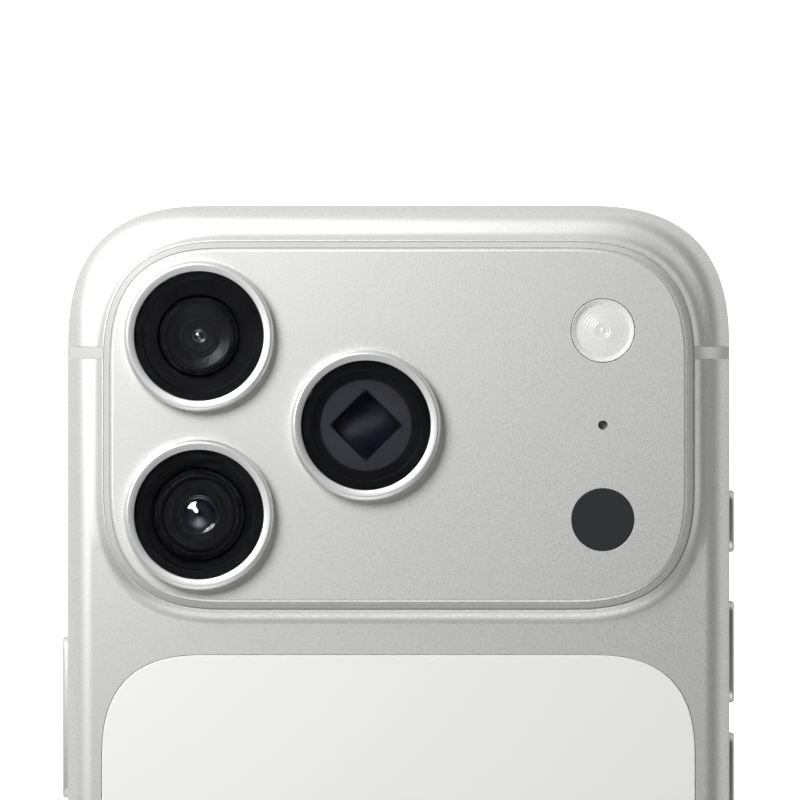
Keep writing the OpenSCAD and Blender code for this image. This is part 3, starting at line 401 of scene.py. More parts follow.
def make_material(name, colour, rough, metallic=0.0, grain=9000.0, cloud=60.0, share=0.5, contrast=0.04,
                  spread=0.05, bump=0.0, bump_size=0.02, **shader):
    """Procedural material: the finish group drives Base Color, Roughness and a fine bump; the constants
    named in shader go on the shader's own sockets."""
    material = bpy.data.materials.new(name)
    material.use_nodes = True
    nodes, links = material.node_tree.nodes, material.node_tree.links
    principled = nodes["Principled BSDF"]
    principled.inputs["Metallic"].default_value = metallic
    for label, value in shader.items():
        principled.inputs[label.replace("_", " ")].default_value = value
    place = nodes.new("ShaderNodeTexCoord")
    finish = nodes.new("ShaderNodeGroup")
    finish.node_tree = bpy.data.node_groups["surface_finish"]
    values = {"Grain Scale": grain, "Cloud Scale": cloud, "Grain Share": share,
              "Color A": tinted(colour, 1 + contrast), "Color B": tinted(colour, 1 - contrast),
              "Roughness A": max(0.0, rough - spread), "Roughness B": min(1.0, rough + spread)}
    for label, value in values.items():
        finish.inputs[label].default_value = value
    links.new(place.outputs["Object"], finish.inputs["Vector"])
    links.new(finish.outputs["Color"], principled.inputs["Base Color"])
    links.new(finish.outputs["Roughness"], principled.inputs["Roughness"])
    if bump:
        relief = nodes.new("ShaderNodeBump")
        relief.inputs["Strength"].default_value = bump
        relief.inputs["Distance"].default_value = bump_size * MM
        links.new(finish.outputs["Height"], relief.inputs["Height"])
        links.new(relief.outputs["Normal"], principled.inputs["Normal"])
    return material


def barred(material, pitch, share, low, high):
    """Adds the bars group to a material: bars along X, whose colour goes to Base Color."""
    nodes, links = material.node_tree.nodes, material.node_tree.links
    place = next(n for n in nodes if n.type == "TEX_COORD")
    bars = nodes.new("ShaderNodeGroup")
    bars.node_tree = bpy.data.node_groups["bars"]
    bars.inputs["Pitch"].default_value = pitch * MM
    bars.inputs["Share"].default_value = share
    bars.inputs["Color A"].default_value = low + (1.0,)
    bars.inputs["Color B"].default_value = high + (1.0,)
    links.new(place.outputs["Object"], bars.inputs["Vector"])
    links.new(bars.outputs["Color"], nodes["Principled BSDF"].inputs["Base Color"])
    return material


# ---- Sizes and colours that a user would change ----

def length_prop(name, description, value):
    """Length property; value in millimetres."""
    return bpy.props.FloatProperty(name=name, description=description, default=value * MM, min=0.0,
                                   unit="LENGTH", precision=5)


def colour_prop(name, description, value):
    return bpy.props.FloatVectorProperty(name=name, description=description, default=value, size=3,
                                         min=0.0, max=1.0, subtype="COLOR")


def factor_prop(name, description, value):
    return bpy.props.FloatProperty(name=name, description=description, default=value, min=0.0, max=1.0,
                                   subtype="FACTOR")


class PhoneBodySizes(bpy.types.PropertyGroup):
    corner_reach: length_prop("Corner reach", "How far a corner's curve reaches along each side", 16.27)
    plateau_reach: length_prop("Plateau corner reach", "Reach of the plateau's corners at its foot", 14.2)
    glass_reach: length_prop("Back glass corner reach", "Reach of the back glass's corners", 11.77)
    back_round: length_prop("Back round", "Radius between the rails and the back", 2.7)
    front_round: length_prop("Front round", "Radius between the rails and the display rim", 1.3)
    hollow: length_prop("Hollow", "Reach of the hollow out from the plateau's foot", 2.1)
    lip: length_prop("Lip", "Radius of the lip above the hollow", 0.2)
    band: length_prop("Band", "Width of the plastic band in plan", 0.675)
    top_round: length_prop("Plateau edge", "Radius of the plateau's top edge", 0.4)
    slit: length_prop("Slit", "Width of the plastic slits", 1.4)
    power: bpy.props.FloatProperty(name="Corner power", description="Power of the corner curves", default=2.7,
                                   min=2.0, max=5.0)


class PhoneFinish(bpy.types.PropertyGroup):
    metal: colour_prop("Metal", "Colour of the blasted aluminium", (0.735, 0.735, 0.725))
    metal_rough: factor_prop("Metal roughness", "Roughness of the blasted aluminium", 0.52)
    plastic: colour_prop("Band", "Colour of the plastic band and slits", (0.52, 0.52, 0.51))
    glass: colour_prop("Back glass", "Colour of the matte back glass", (0.82, 0.82, 0.81))
    ring: colour_prop("Ring", "Colour of the lens rings", (0.76, 0.76, 0.75))
    flash: colour_prop("Flash", "Colour of the flash lens", (0.72, 0.72, 0.71))


class PhoneLensSizes(bpy.types.PropertyGroup):
    bevel_width: length_prop("Bevel width", "Width of a ring's outer bevel", 0.45)
    bevel_height: length_prop("Bevel height", "Height of a ring's outer bevel", 0.65)
    dish: length_prop("Dish", "Fall of a ring's face towards its glass", 0.15)
    hairline: length_prop("Hairline", "Bevel under a ring's foot", 0.12)


class PhoneStudio(bpy.types.PropertyGroup):
    width: length_prop("View width", "Width that the camera sees", 86.7)
    centre_x: bpy.props.FloatProperty(name="View centre X", description="Across", default=0.16 * MM,
                                      unit="LENGTH", precision=5)
    centre_y: bpy.props.FloatProperty(name="View centre Y", description="Along", default=53.87 * MM,
                                      unit="LENGTH", precision=5)
    distance: length_prop("Distance", "Height of the camera", 2000.0)
    key_power: bpy.props.FloatProperty(name="Key light", description="Power of the key light in watts",
                                       default=0.7, min=0.0, unit="POWER")
    side_power: bpy.props.FloatProperty(name="Side light", description="Power of the low side light in watts",
                                        default=0.14, min=0.0, unit="POWER")
    side_glow: bpy.props.FloatProperty(
        name="Side glow", description="Brightness of each soft glow at the sides and the head",
        default=1.1, min=0.0)
    foot_glow: bpy.props.FloatProperty(
        name="Foot glow", description="Brightness of the soft glow above the foot", default=2.2, min=0.0)


# ---- Materials ----

class PHONE_OT_materials(bpy.types.Operator):
    """Makes the shader groups and every material, and dresses the CAD nodes that stay."""
    bl_idname = "phone.materials"
    bl_label = "Materials"

    def execute(self, context):
        look = context.scene.phone_finish
        finish_group()
        stripe_group()
        metal = tuple(look.metal)
        make_material("blasted_aluminium", metal, look.metal_rough, 1.0, grain=4600.0, share=0.9,
                      contrast=0.075, spread=0.06, bump=0.6, bump_size=0.01)
        make_material("ring_aluminium", tuple(look.ring), 0.45, 1.0, grain=9000.0, share=0.6, contrast=0.02,
                      spread=0.03, bump=0.12, bump_size=0.004)
        make_material("key_aluminium", metal, 0.45, 1.0, grain=9000.0, contrast=0.02, bump=0.12,
                      bump_size=0.004)
        make_material("band_plastic", tuple(look.plastic), 0.5, grain=6000.0, contrast=0.02, bump=0.1,
                      bump_size=0.004, IOR=1.5)
        make_material("matte_back_glass", tuple(look.glass), 0.42, grain=8000.0, cloud=30.0, contrast=0.012,
                      spread=0.03, bump=0.08, bump_size=0.003, IOR=1.5)
        make_material("clear_lens_glass", (0.9, 0.92, 0.95), 0.01, grain=3000.0, contrast=0.01, spread=0.005,
                      Transmission_Weight=1.0, IOR=1.16)
        make_material("black_print", (0.004, 0.004, 0.0045), 0.4, grain=5000.0, contrast=0.1, bump=0.05,
                      Specular_IOR_Level=0.2)
        make_material("barrel_black", (0.008, 0.008, 0.009), 0.42, grain=6000.0, contrast=0.15, bump=0.15,
                      bump_size=0.01, Specular_IOR_Level=0.22)
        make_material("coated_element", (0.012, 0.012, 0.024), 0.06, grain=400.0, contrast=0.2, spread=0.02,
                      IOR=1.9, Coat_Weight=1.0, Coat_Roughness=0.02)
        make_material("flash_diffuser", tuple(look.flash), 0.22, grain=2500.0, contrast=0.03, bump=0.1,
                      bump_size=0.01, IOR=1.5, Coat_Weight=0.6, Coat_Roughness=0.1)
        make_material("scanner_glass", (0.03, 0.031, 0.034), 0.25, grain=5000.0, contrast=0.08, bump=0.05,
                      IOR=1.4)
        make_material("display_glass", (0.006, 0.006, 0.008), 0.05, grain=2000.0, contrast=0.2, spread=0.02,
                      IOR=1.5, Coat_Weight=1.0, Coat_Roughness=0.02)
        inner = {
            "adhesive": ((0.05, 0.05, 0.055), 0.8, 0.0), "copper": ((0.78, 0.42, 0.25), 0.3, 1.0),
            "magnet": ((0.6, 0.6, 0.62), 0.35, 1.0), "ferrite": ((0.05, 0.05, 0.055), 0.7, 0.0),
            "battery_can": ((0.12, 0.12, 0.13), 0.45, 0.6), "board": ((0.02, 0.09, 0.05), 0.45, 0.0),
            "chip": ((0.02, 0.02, 0.025), 0.5, 0.0), "steel": ((0.58, 0.58, 0.59), 0.33, 1.0),
            "camera_case": ((0.04, 0.04, 0.045), 0.5, 0.5), "prism_glass": ((0.75, 0.8, 0.82), 0.08, 0.0),
            "sensor": ((0.03, 0.05, 0.12), 0.15, 0.4), "stage": ((0.5, 0.38, 0.18), 0.4, 1.0),
            "flash_board": ((0.85, 0.84, 0.8), 0.5, 0.0), "microphone": ((0.16, 0.16, 0.165), 0.5, 0.3),
            "panel": ((0.01, 0.01, 0.02), 0.2, 0.0), "speaker_plastic": ((0.04, 0.04, 0.045), 0.55, 0.0),
            "diaphragm": ((0.5, 0.5, 0.52), 0.4, 0.3), "tungsten": ((0.35, 0.35, 0.36), 0.45, 1.0),
            "flex": ((0.35, 0.2, 0.07), 0.45, 0.0)}
        for slot, (colour, rough, metallic) in inner.items():
            make_material("inner_" + slot, colour, rough, metallic, grain=3000.0, contrast=0.08, bump=0.1,
                          bump_size=0.01)
        barred(make_material("inner_mesh", (0.1, 0.1, 0.1), 0.5, 0.8, grain=4000.0), 0.22, 0.5,
               (0.02, 0.02, 0.02), (0.3, 0.3, 0.3))
        barred(make_material("inner_port_plastic", (0.02, 0.02, 0.02), 0.4, 0.0, grain=4000.0), 0.5, 0.45,
               (0.02, 0.02, 0.022), (0.62, 0.46, 0.2))
        node_slots = {
            "housing": "body_metal", "back_glass_adhesive": "adhesive", "charging_coil": "copper",
            "magnet_ring": "magnet", "charging_shield": "ferrite", "battery": "battery_can",
            "vapour_chamber": "copper", "logic_board": "board", "processor_package": "chip",
            "board_shield": "steel", "internal_screws": "steel", "camera_bracket": "steel",
            "ultra_wide_camera_case": "camera_case", "wide_camera_case": "camera_case",
            "tele_camera_case": "camera_case", "tele_prism": "prism_glass", "tele_sensor": "sensor",
            "sensor_stage": "stage", "wide_sensor": "sensor", "flash_board": "flash_board",
            "scanner_module": "chip", "microphones": "microphone", "display_panel": "panel",
            "display_plate": "steel", "display_gasket": "adhesive", "front_sensor_housing": "steel",
            "front_camera_barrel": "chip", "infrared_module": "chip", "earpiece_enclosure": "speaker_plastic",
            "earpiece_diaphragm": "diaphragm", "acoustic_meshes": "mesh",
            "speaker_enclosure": "speaker_plastic",
            "speaker_diaphragm": "diaphragm", "motor_case": "steel", "motor_mass": "tungsten",
            "port_shell": "steel", "port_tongue": "port_plastic", "flex_circuits": "flex",
            "key_switches": "stage", "sim_reader": "steel"}
        for node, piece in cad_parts.items():
            name = "inner_" + node_slots.get(node, "steel")
            chosen = bpy.data.materials.get(name) or bpy.data.materials["blasted_aluminium"]
            if not piece.material_slots:
                piece.data.materials.append(chosen)
            for place in piece.material_slots:
                place.material = chosen
        return {"FINISHED"}


# ---- Metal body ----

# The lip's tilt in degrees, the radius of its inner edge, its start (inset, height), and the wall's inset
LIP_TILT = 55
LIP_EDGE = 0.05
LIP_START = (-0.03, BACK_Z + 0.74)
WALL_INSET = 0.88


def plateau_centre():
    """Plan centre of the camera plateau: as far from the top end as from the side rails."""
    length = plateau_length()
    return (0.0, HALF_L - PLATEAU_GAP - length / 2)


def plateau_length():
    """Length of the plateau's foot, from the back glass's far end and the lens places."""
    ultra, wide = middle("ultra_wide_glass"), middle("wide_glass")
    return float(2 * (HALF_L - PLATEAU_GAP - ultra[1]) + ultra[1] - wide[1])


def body_curves(sizes):
    """Plan curves of the body, the plateau's foot and the back glass."""
    power = sizes.power
    body = outline(2 * HALF_W, 2 * HALF_L, sizes.corner_reach / MM, power)
    foot = outline(FOOT_W, plateau_length(), sizes.plateau_reach / MM, power, plateau_centre())
    glass = outline(FOOT_W, float(GLASS_HIGH[1] - GLASS_LOW[1]), sizes.glass_reach / MM, power,
                    middle("back_glass")[:2])
    return body, foot, glass


def hole_circles():
    """Centre and radius of each hole through the plateau's top."""
    holes = [(middle(name + "_glass")[:2], extent(name + "_glass")[0] / 2 + 0.6) for name in CAMERAS]
    flash, flash_radius, _, _ = disc("flash_lens")
    scanner, scanner_radius, _, _ = disc("scanner_window")
    microphone = (flash + scanner) / 2
    return holes + [(flash, flash_radius + 0.08), (scanner, scanner_radius + 0.05), (microphone, 0.5)]


def back_height(sizes, points):
    """Height and slope of the plain back under plan points: level inside the back round, and on the
    round z = edge height + sqrt(R^2 - (R - inset)^2), with the inset taken from the nearest outline point."""
    back = sizes.back_round / MM
    edge, _ = outline(2 * HALF_W, 2 * HALF_L, sizes.corner_reach / MM, sizes.power, straight=400)
    inset = np.sqrt(((points[:, None] - edge[None]) ** 2).sum(2)).min(1)
    drop = (back - inset).clip(0, back)
    return BACK_Z - back + np.sqrt(back ** 2 - drop ** 2), np.arcsin(drop / back)


def plateau_solid(sizes, foot, wall):
    """Closed plateau with its hollow. Round the foot the hollow is a cubic curve from the plain back, with
    the back's own height and slope at the hollow's reach, up to the lip; then come lip, groove, wall and
    rounded edge."""
    loop, facing = foot
    reach, lip, edge = sizes.hollow / MM, sizes.lip / MM, sizes.top_round / MM
    low, slope = back_height(sizes, loop + reach * facing)
    tilt = math.radians(LIP_TILT)
    first = np.stack([np.full(len(loop), -reach), low - 0.012], 1)
    last = np.array(LIP_START)
    pull = 1.25 * np.linalg.norm(last - first, axis=1)[:, None]
    leave = pull * np.stack([np.cos(slope), np.sin(slope)], 1)
    arrive = pull * np.array([math.cos(tilt), math.sin(tilt)])
    t = np.linspace(0, 1, 18)[:, None, None]
    curve = ((2 * t ** 3 - 3 * t ** 2 + 1) * first + (t ** 3 - 2 * t ** 2 + t) * leave
             + (3 * t ** 2 - 2 * t ** 3) * last + (t ** 3 - t ** 2) * arrive)
    turn = last + lip * np.array([math.sin(tilt), -math.cos(tilt)])
    rest = np.concatenate([
        arc(turn, lip, 90 + LIP_TILT, 90, 8)[1:],
        arc((turn[0], turn[1] + lip - LIP_EDGE), LIP_EDGE, 90, 0, 5)[1:],
        line((turn[0] + LIP_EDGE, BACK_Z + 0.1), (wall, BACK_Z + 0.1)),
        arc((wall + edge, TOP_Z - edge), edge, 180, 90, 10), line((wall + edge + 0.04, TOP_Z))])
    rest = np.broadcast_to(rest[:, None], (len(rest), len(loop), 2))
    start = np.broadcast_to(np.array([0.3 - reach, BACK_Z - 0.75]), (1, len(loop), 2))
    rows = np.concatenate([start, curve, rest])
    grid = np.concatenate([loop[None] - rows[..., :1] * facing[None], rows[..., 1:]], 2)
    return Surface().capped(grid)


def body_base(sizes):
    """Closed metal shell without its slots. The rail's section is carried round the body's outline and
    joined to the plateau; the room under the plateau and the turned holes through its top are cut out."""
    body, foot, glass = body_curves(sizes)
    back, front = sizes.back_round / MM, sizes.front_round / MM
    ceiling, room, inner = BACK_Z - 1.4, TOP_Z - 1.0, 2.35
    shelf = float(corners("display_gasket")[1][2]) + 0.025
    rail = np.concatenate([
        line((inner, ceiling), (inner, shelf), (1.45, shelf), (1.45, RIM_Z + 0.06), (1.40, RIM_Z)),
        arc((front, RIM_Z + front), front, -90, -180, 12),
        line((0, RIM_Z + front + 0.2), (0, BACK_Z - back - 0.2)),
        arc((back, BACK_Z - back), back, 180, 90, 26), line((back + 0.03, BACK_Z))])
    rail_grid = carried(body, rail)
    glass_grid = carried(glass, line((-0.09, BACK_Z), (-0.05, BACK_Z - 0.04), (-0.05, BACK_Z - 0.85),
                                     (1.3, BACK_Z - 0.85), (1.3, ceiling)))
    slab = Surface().grid(rail_grid).grid(glass_grid)
    slab.panel(rail_grid[-1], [glass_grid[0]], BACK_Z).panel(rail_grid[0], [glass_grid[-1]], ceiling)
    whole = slab.build("work_shell")
    mesh = whole.data.copy()
    bpy.data.objects.remove(whole)
    mesh = cut(mesh, plateau_solid(sizes, foot, WALL_INSET), "UNION")
    mesh = cut(mesh, Surface().capped(carried(foot, line((2.3, ceiling - 0.5), (2.3, room)))))
    for at, radius in hole_circles():
        profile = line((radius, room - 0.3), (radius, TOP_Z - 0.05), (radius + 0.05, TOP_Z),
                       (radius + 0.05, TOP_Z + 1))
        mesh = cut(mesh, Surface().capped(turned(at, profile, ROUND if radius > 1 else 32)))
    return mesh


# Inner faces of the rails and, behind the keys, of their pockets; places of the slits along the body
RAIL_INNER = 33.1
POCKET_FACE = 34.65
UPPER_SLIT = HALF_L - 16.0
LOWER_SLIT = -HALF_L + 15.2


def slit_boxes(width):
    """Boxes of the four slits: through the rail, and for the upper pair on through the hollow to the
    band."""
    boxes = []
    for sign in (-1, 1):
        for y in (UPPER_SLIT, LOWER_SLIT):
            low, high = [RAIL_INNER, y - width / 2, RIM_Z - 1], [HALF_W + 1, y + width / 2, BACK_Z + 0.14]
            boxes.append((low, high, sign))
        low = [31.7, UPPER_SLIT - width / 2, BACK_Z + 0.11]
        high = [HALF_W, UPPER_SLIT + width / 2, BACK_Z + 1.1]
        boxes.append((low, high, sign))
    return boxes


def mirrored(low, high, sign):
    """The same box on the +X or the -X side."""
    if sign > 0:
        return low, high
    return [-high[0], low[1], low[2]], [-low[0], high[1], high[2]]


def rail_slot(y, length, height, sign, inner, flare=0.09):
    """Stadium slot through a side rail, flared at the surface."""
    mouth = (length + 2 * flare, height + 2 * flare)
    rows = [(inner, length, height), (HALF_W - flare, length, height), (HALF_W, *mouth), (HALF_W + 1, *mouth)]
    return Surface().capped(pill_rows(rows, 0, (y, RAIL_Z), sign))


def end_slot(x, length, height, inner, flare=0.09):
    """Stadium opening through the bottom end, flared at the surface."""
    mouth = (length + 2 * flare, height + 2 * flare)
    rows = [(inner, length, height), (-HALF_L + flare, length, height), (-HALF_L, *mouth),
            (-HALF_L - 1, *mouth)]
    return Surface().capped(pill_rows(rows, 1, (x, RAIL_Z)))


# Keys with their side; clearances round keys, card plate and key flanges; the end's inner and outer walls
KEYS = {"action_key": 1, "volume_up_key": 1, "volume_down_key": 1, "side_key": -1, "camera_key": -1}
KEY_HEIGHT = 2.9
FLANGE = 1.1
FIT = 0.16
FLANGE_ROOM = 1.56
PLATE_HEIGHT = 2.3
END_INNER, END_WALL = -72.2, -74.2
SOUND_START, SOUND_PITCH, SOUND_COUNT, SOUND_RADIUS = 12.6, 2.3, 5, 0.75
END_SCREW_X = 7.4


class PHONE_OT_body(bpy.types.Operator):
    """Builds the metal shell with its slots, the plastic band and the plastic slits."""
    bl_idname = "phone.body"
    bl_label = "Metal body and band"

    def execute(self, context):
        sizes = context.scene.phone_body
        base = body_base(sizes)
        width = sizes.slit / MM
        band = Surface()
        _, foot, _ = body_curves(sizes)
        inner = WALL_INSET - 0.01
        outer = inner - sizes.band / MM
        height = LIP_START[1]
        section = line((outer, BACK_Z + 0.12), (outer, height + 0.03), (outer + 0.05, height + 0.14),
                       (inner - 0.07, TOP_Z - 0.27), (inner, TOP_Z - 0.25), (inner, BACK_Z + 0.12))
        band.grid(carried(foot, section), close_rows=True)
        parts = []
        for low, high, sign in slit_boxes(width - 0.05):
            shape = block(*mirrored(low, high, sign))
            parts.append(cut(base.copy(), shape, "INTERSECT"))
        piece = band.build("plastic_band", "band_plastic")
        joined(piece, parts)
        finished(piece, "phone_body", "antenna_plastic", "antenna_inserts")
        mesh = base
        for low, high, sign in slit_boxes(width):
            mesh = cut(mesh, block(*mirrored(low, high, sign)))
        for node, sign in KEYS.items():
            length = float(extent(node)[1]) - FLANGE
            y = float(middle(node)[1])
            mesh = cut(mesh, rail_slot(y, length + FIT, KEY_HEIGHT + FIT, sign, RAIL_INNER))
            room = (length + FLANGE_ROOM, KEY_HEIGHT + FLANGE_ROOM)
            mesh = cut(mesh, Surface().capped(pill_rows(
                [(RAIL_INNER, *room), (POCKET_FACE, *room)], 0, (y, RAIL_Z), sign)))
        tray = middle("sim_tray")
        face = float(extent("sim_tray")[1])
        mesh = cut(mesh, rail_slot(float(tray[1]), face + FIT, PLATE_HEIGHT + FIT, 1, POCKET_FACE, 0.06))
        mesh = cut(mesh, block((RAIL_INNER, tray[1] - face / 2 + 0.67, RAIL_Z - 0.68),
                               (34.8, tray[1] + face / 2 - 0.67, RAIL_Z + 0.68)))
        mesh = cut(mesh, end_slot(0.0, 9.0, 3.32, END_WALL, 0.12))
        seat = pill_rows([(-74.43, 9.5, 3.82), (END_INNER, 9.5, 3.82)], 1, (0, RAIL_Z))
        mesh = cut(mesh, Surface().capped(seat))
        for sign in (-1, 1):
            mesh = cut(mesh, end_slot(sign * END_SCREW_X, 1.86, 1.86, -74.1, 0.05))
            mesh = cut(mesh, end_slot(sign * END_SCREW_X, 1.16, 1.16, END_INNER, 0.0))
            for k in range(SOUND_COUNT):
                x = sign * (SOUND_START + k * SOUND_PITCH)
                mesh = cut(mesh, end_slot(x, 2 * SOUND_RADIUS, 2 * SOUND_RADIUS, END_INNER, 0.07))
        shell = dressed(mesh, "metal_shell", "blasted_aluminium", 32.0, even=True)
        finished(shell, "phone_body", "body_metal", "housing")
        return {"FINISHED"}


def joined(piece, meshes):
    """Adds closed meshes to a piece's own mesh."""
    work = bmesh.new()
    work.from_mesh(piece.data)
    for mesh in meshes:
        work.from_mesh(mesh)
    work.to_mesh(piece.data)
    work.free()
    piece.data.polygons.foreach_set("use_smooth", np.ones(len(piece.data.polygons), bool))
    piece.data.set_sharp_from_angle(angle=math.radians(32))
    for face in piece.data.polygons:
        face.material_index = 0
    return piece


# ---- Glass panels ----

class PHONE_OT_panels(bpy.types.Operator):
    """Builds the matte back glass and the front glass with its earpiece notch."""
    bl_idname = "phone.panels"
    bl_label = "Glass panels"

    def execute(self, context):
        sizes = context.scene.phone_body
        body, _, glass = body_curves(sizes)
        low, high = corners("back_glass")
        edge = 0.14
        section = np.concatenate([line((0.05, low[2]), (0, low[2] + 0.05), (0, high[2] - edge)),
                                  arc((edge, high[2] - edge), edge, 180, 90, 7)[1:],
                                  line((edge + 0.05, high[2]))])
        grid = carried(glass, section)
        back = Surface().capped(grid).build("matte_back_panel", "matte_back_glass")
        finished(back, "phone_body", "back_glass", "back_glass")
        low, high = corners("front_glass")
        inset = 1.5
        section = np.concatenate([line((inset + 0.05, high[2]), (inset, high[2] - 0.05), (inset, 0.32)),
                                  arc((inset + 0.32, 0.32), 0.32, 180, 270, 9)[1:], line((inset + 0.4, 0.0))])
        notch = np.array([4.5, 0.5])
        y = HALF_L - inset
        whole = Surface().capped(carried(body, section)).build("work_front")
        mesh = whole.data
        bpy.data.objects.remove(whole)
        slot = block((-notch[0], y - notch[1], -1), (notch[0], y + 1, 1))
        front = dressed(cut(mesh, slot), "front_panel", "display_glass")
        finished(front, "phone_body", "front_glass", "front_glass")
        return {"FINISHED"}


# ---- Lenses ----

class PHONE_OT_rings(bpy.types.Operator):
    """Turns the three trim rings: bored neck, foot with a hairline, rounded bevel and a face that dips
    towards the glass."""
    bl_idname = "phone.rings"
    bl_label = "Trim rings"

    def execute(self, context):
        sizes = context.scene.phone_lens
        for name in CAMERAS:
            at, outer, foot, crown = disc(name + "_trim_ring")
            _, glass, glass_low, _ = disc(name + "_glass")
            seat = glass_low - 0.15
            width, height = sizes.bevel_width / MM, sizes.bevel_height / MM
            t = np.radians(np.linspace(0, 90, 10))
            bevel = np.stack([outer - width + width * np.cos(t), crown - height + height * np.sin(t)], 1)
            hair = sizes.hairline / MM
            dip = crown - sizes.dish / MM
            section = np.concatenate([
                line((glass - 0.7, foot), (glass + 0.55, foot), (glass + 0.55, TOP_Z + 0.03),
                     (outer - hair, TOP_Z + 0.03), (outer, TOP_Z + 0.03 + hair)), bevel,
                line((glass + 0.06, dip), (glass + 0.05, dip - 0.03), (glass + 0.05, seat),
                     (glass - 0.7, seat))])
            ring = Surface().grid(turned(at, section, 144), close_rows=True)
            piece = ring.build(name + "_ring", "ring_aluminium", 40.0)
            finished(piece, "phone_body", "trim_metal", name + "_trim_ring")
        return {"FINISHED"}


GLASS_RECESS = 0.09


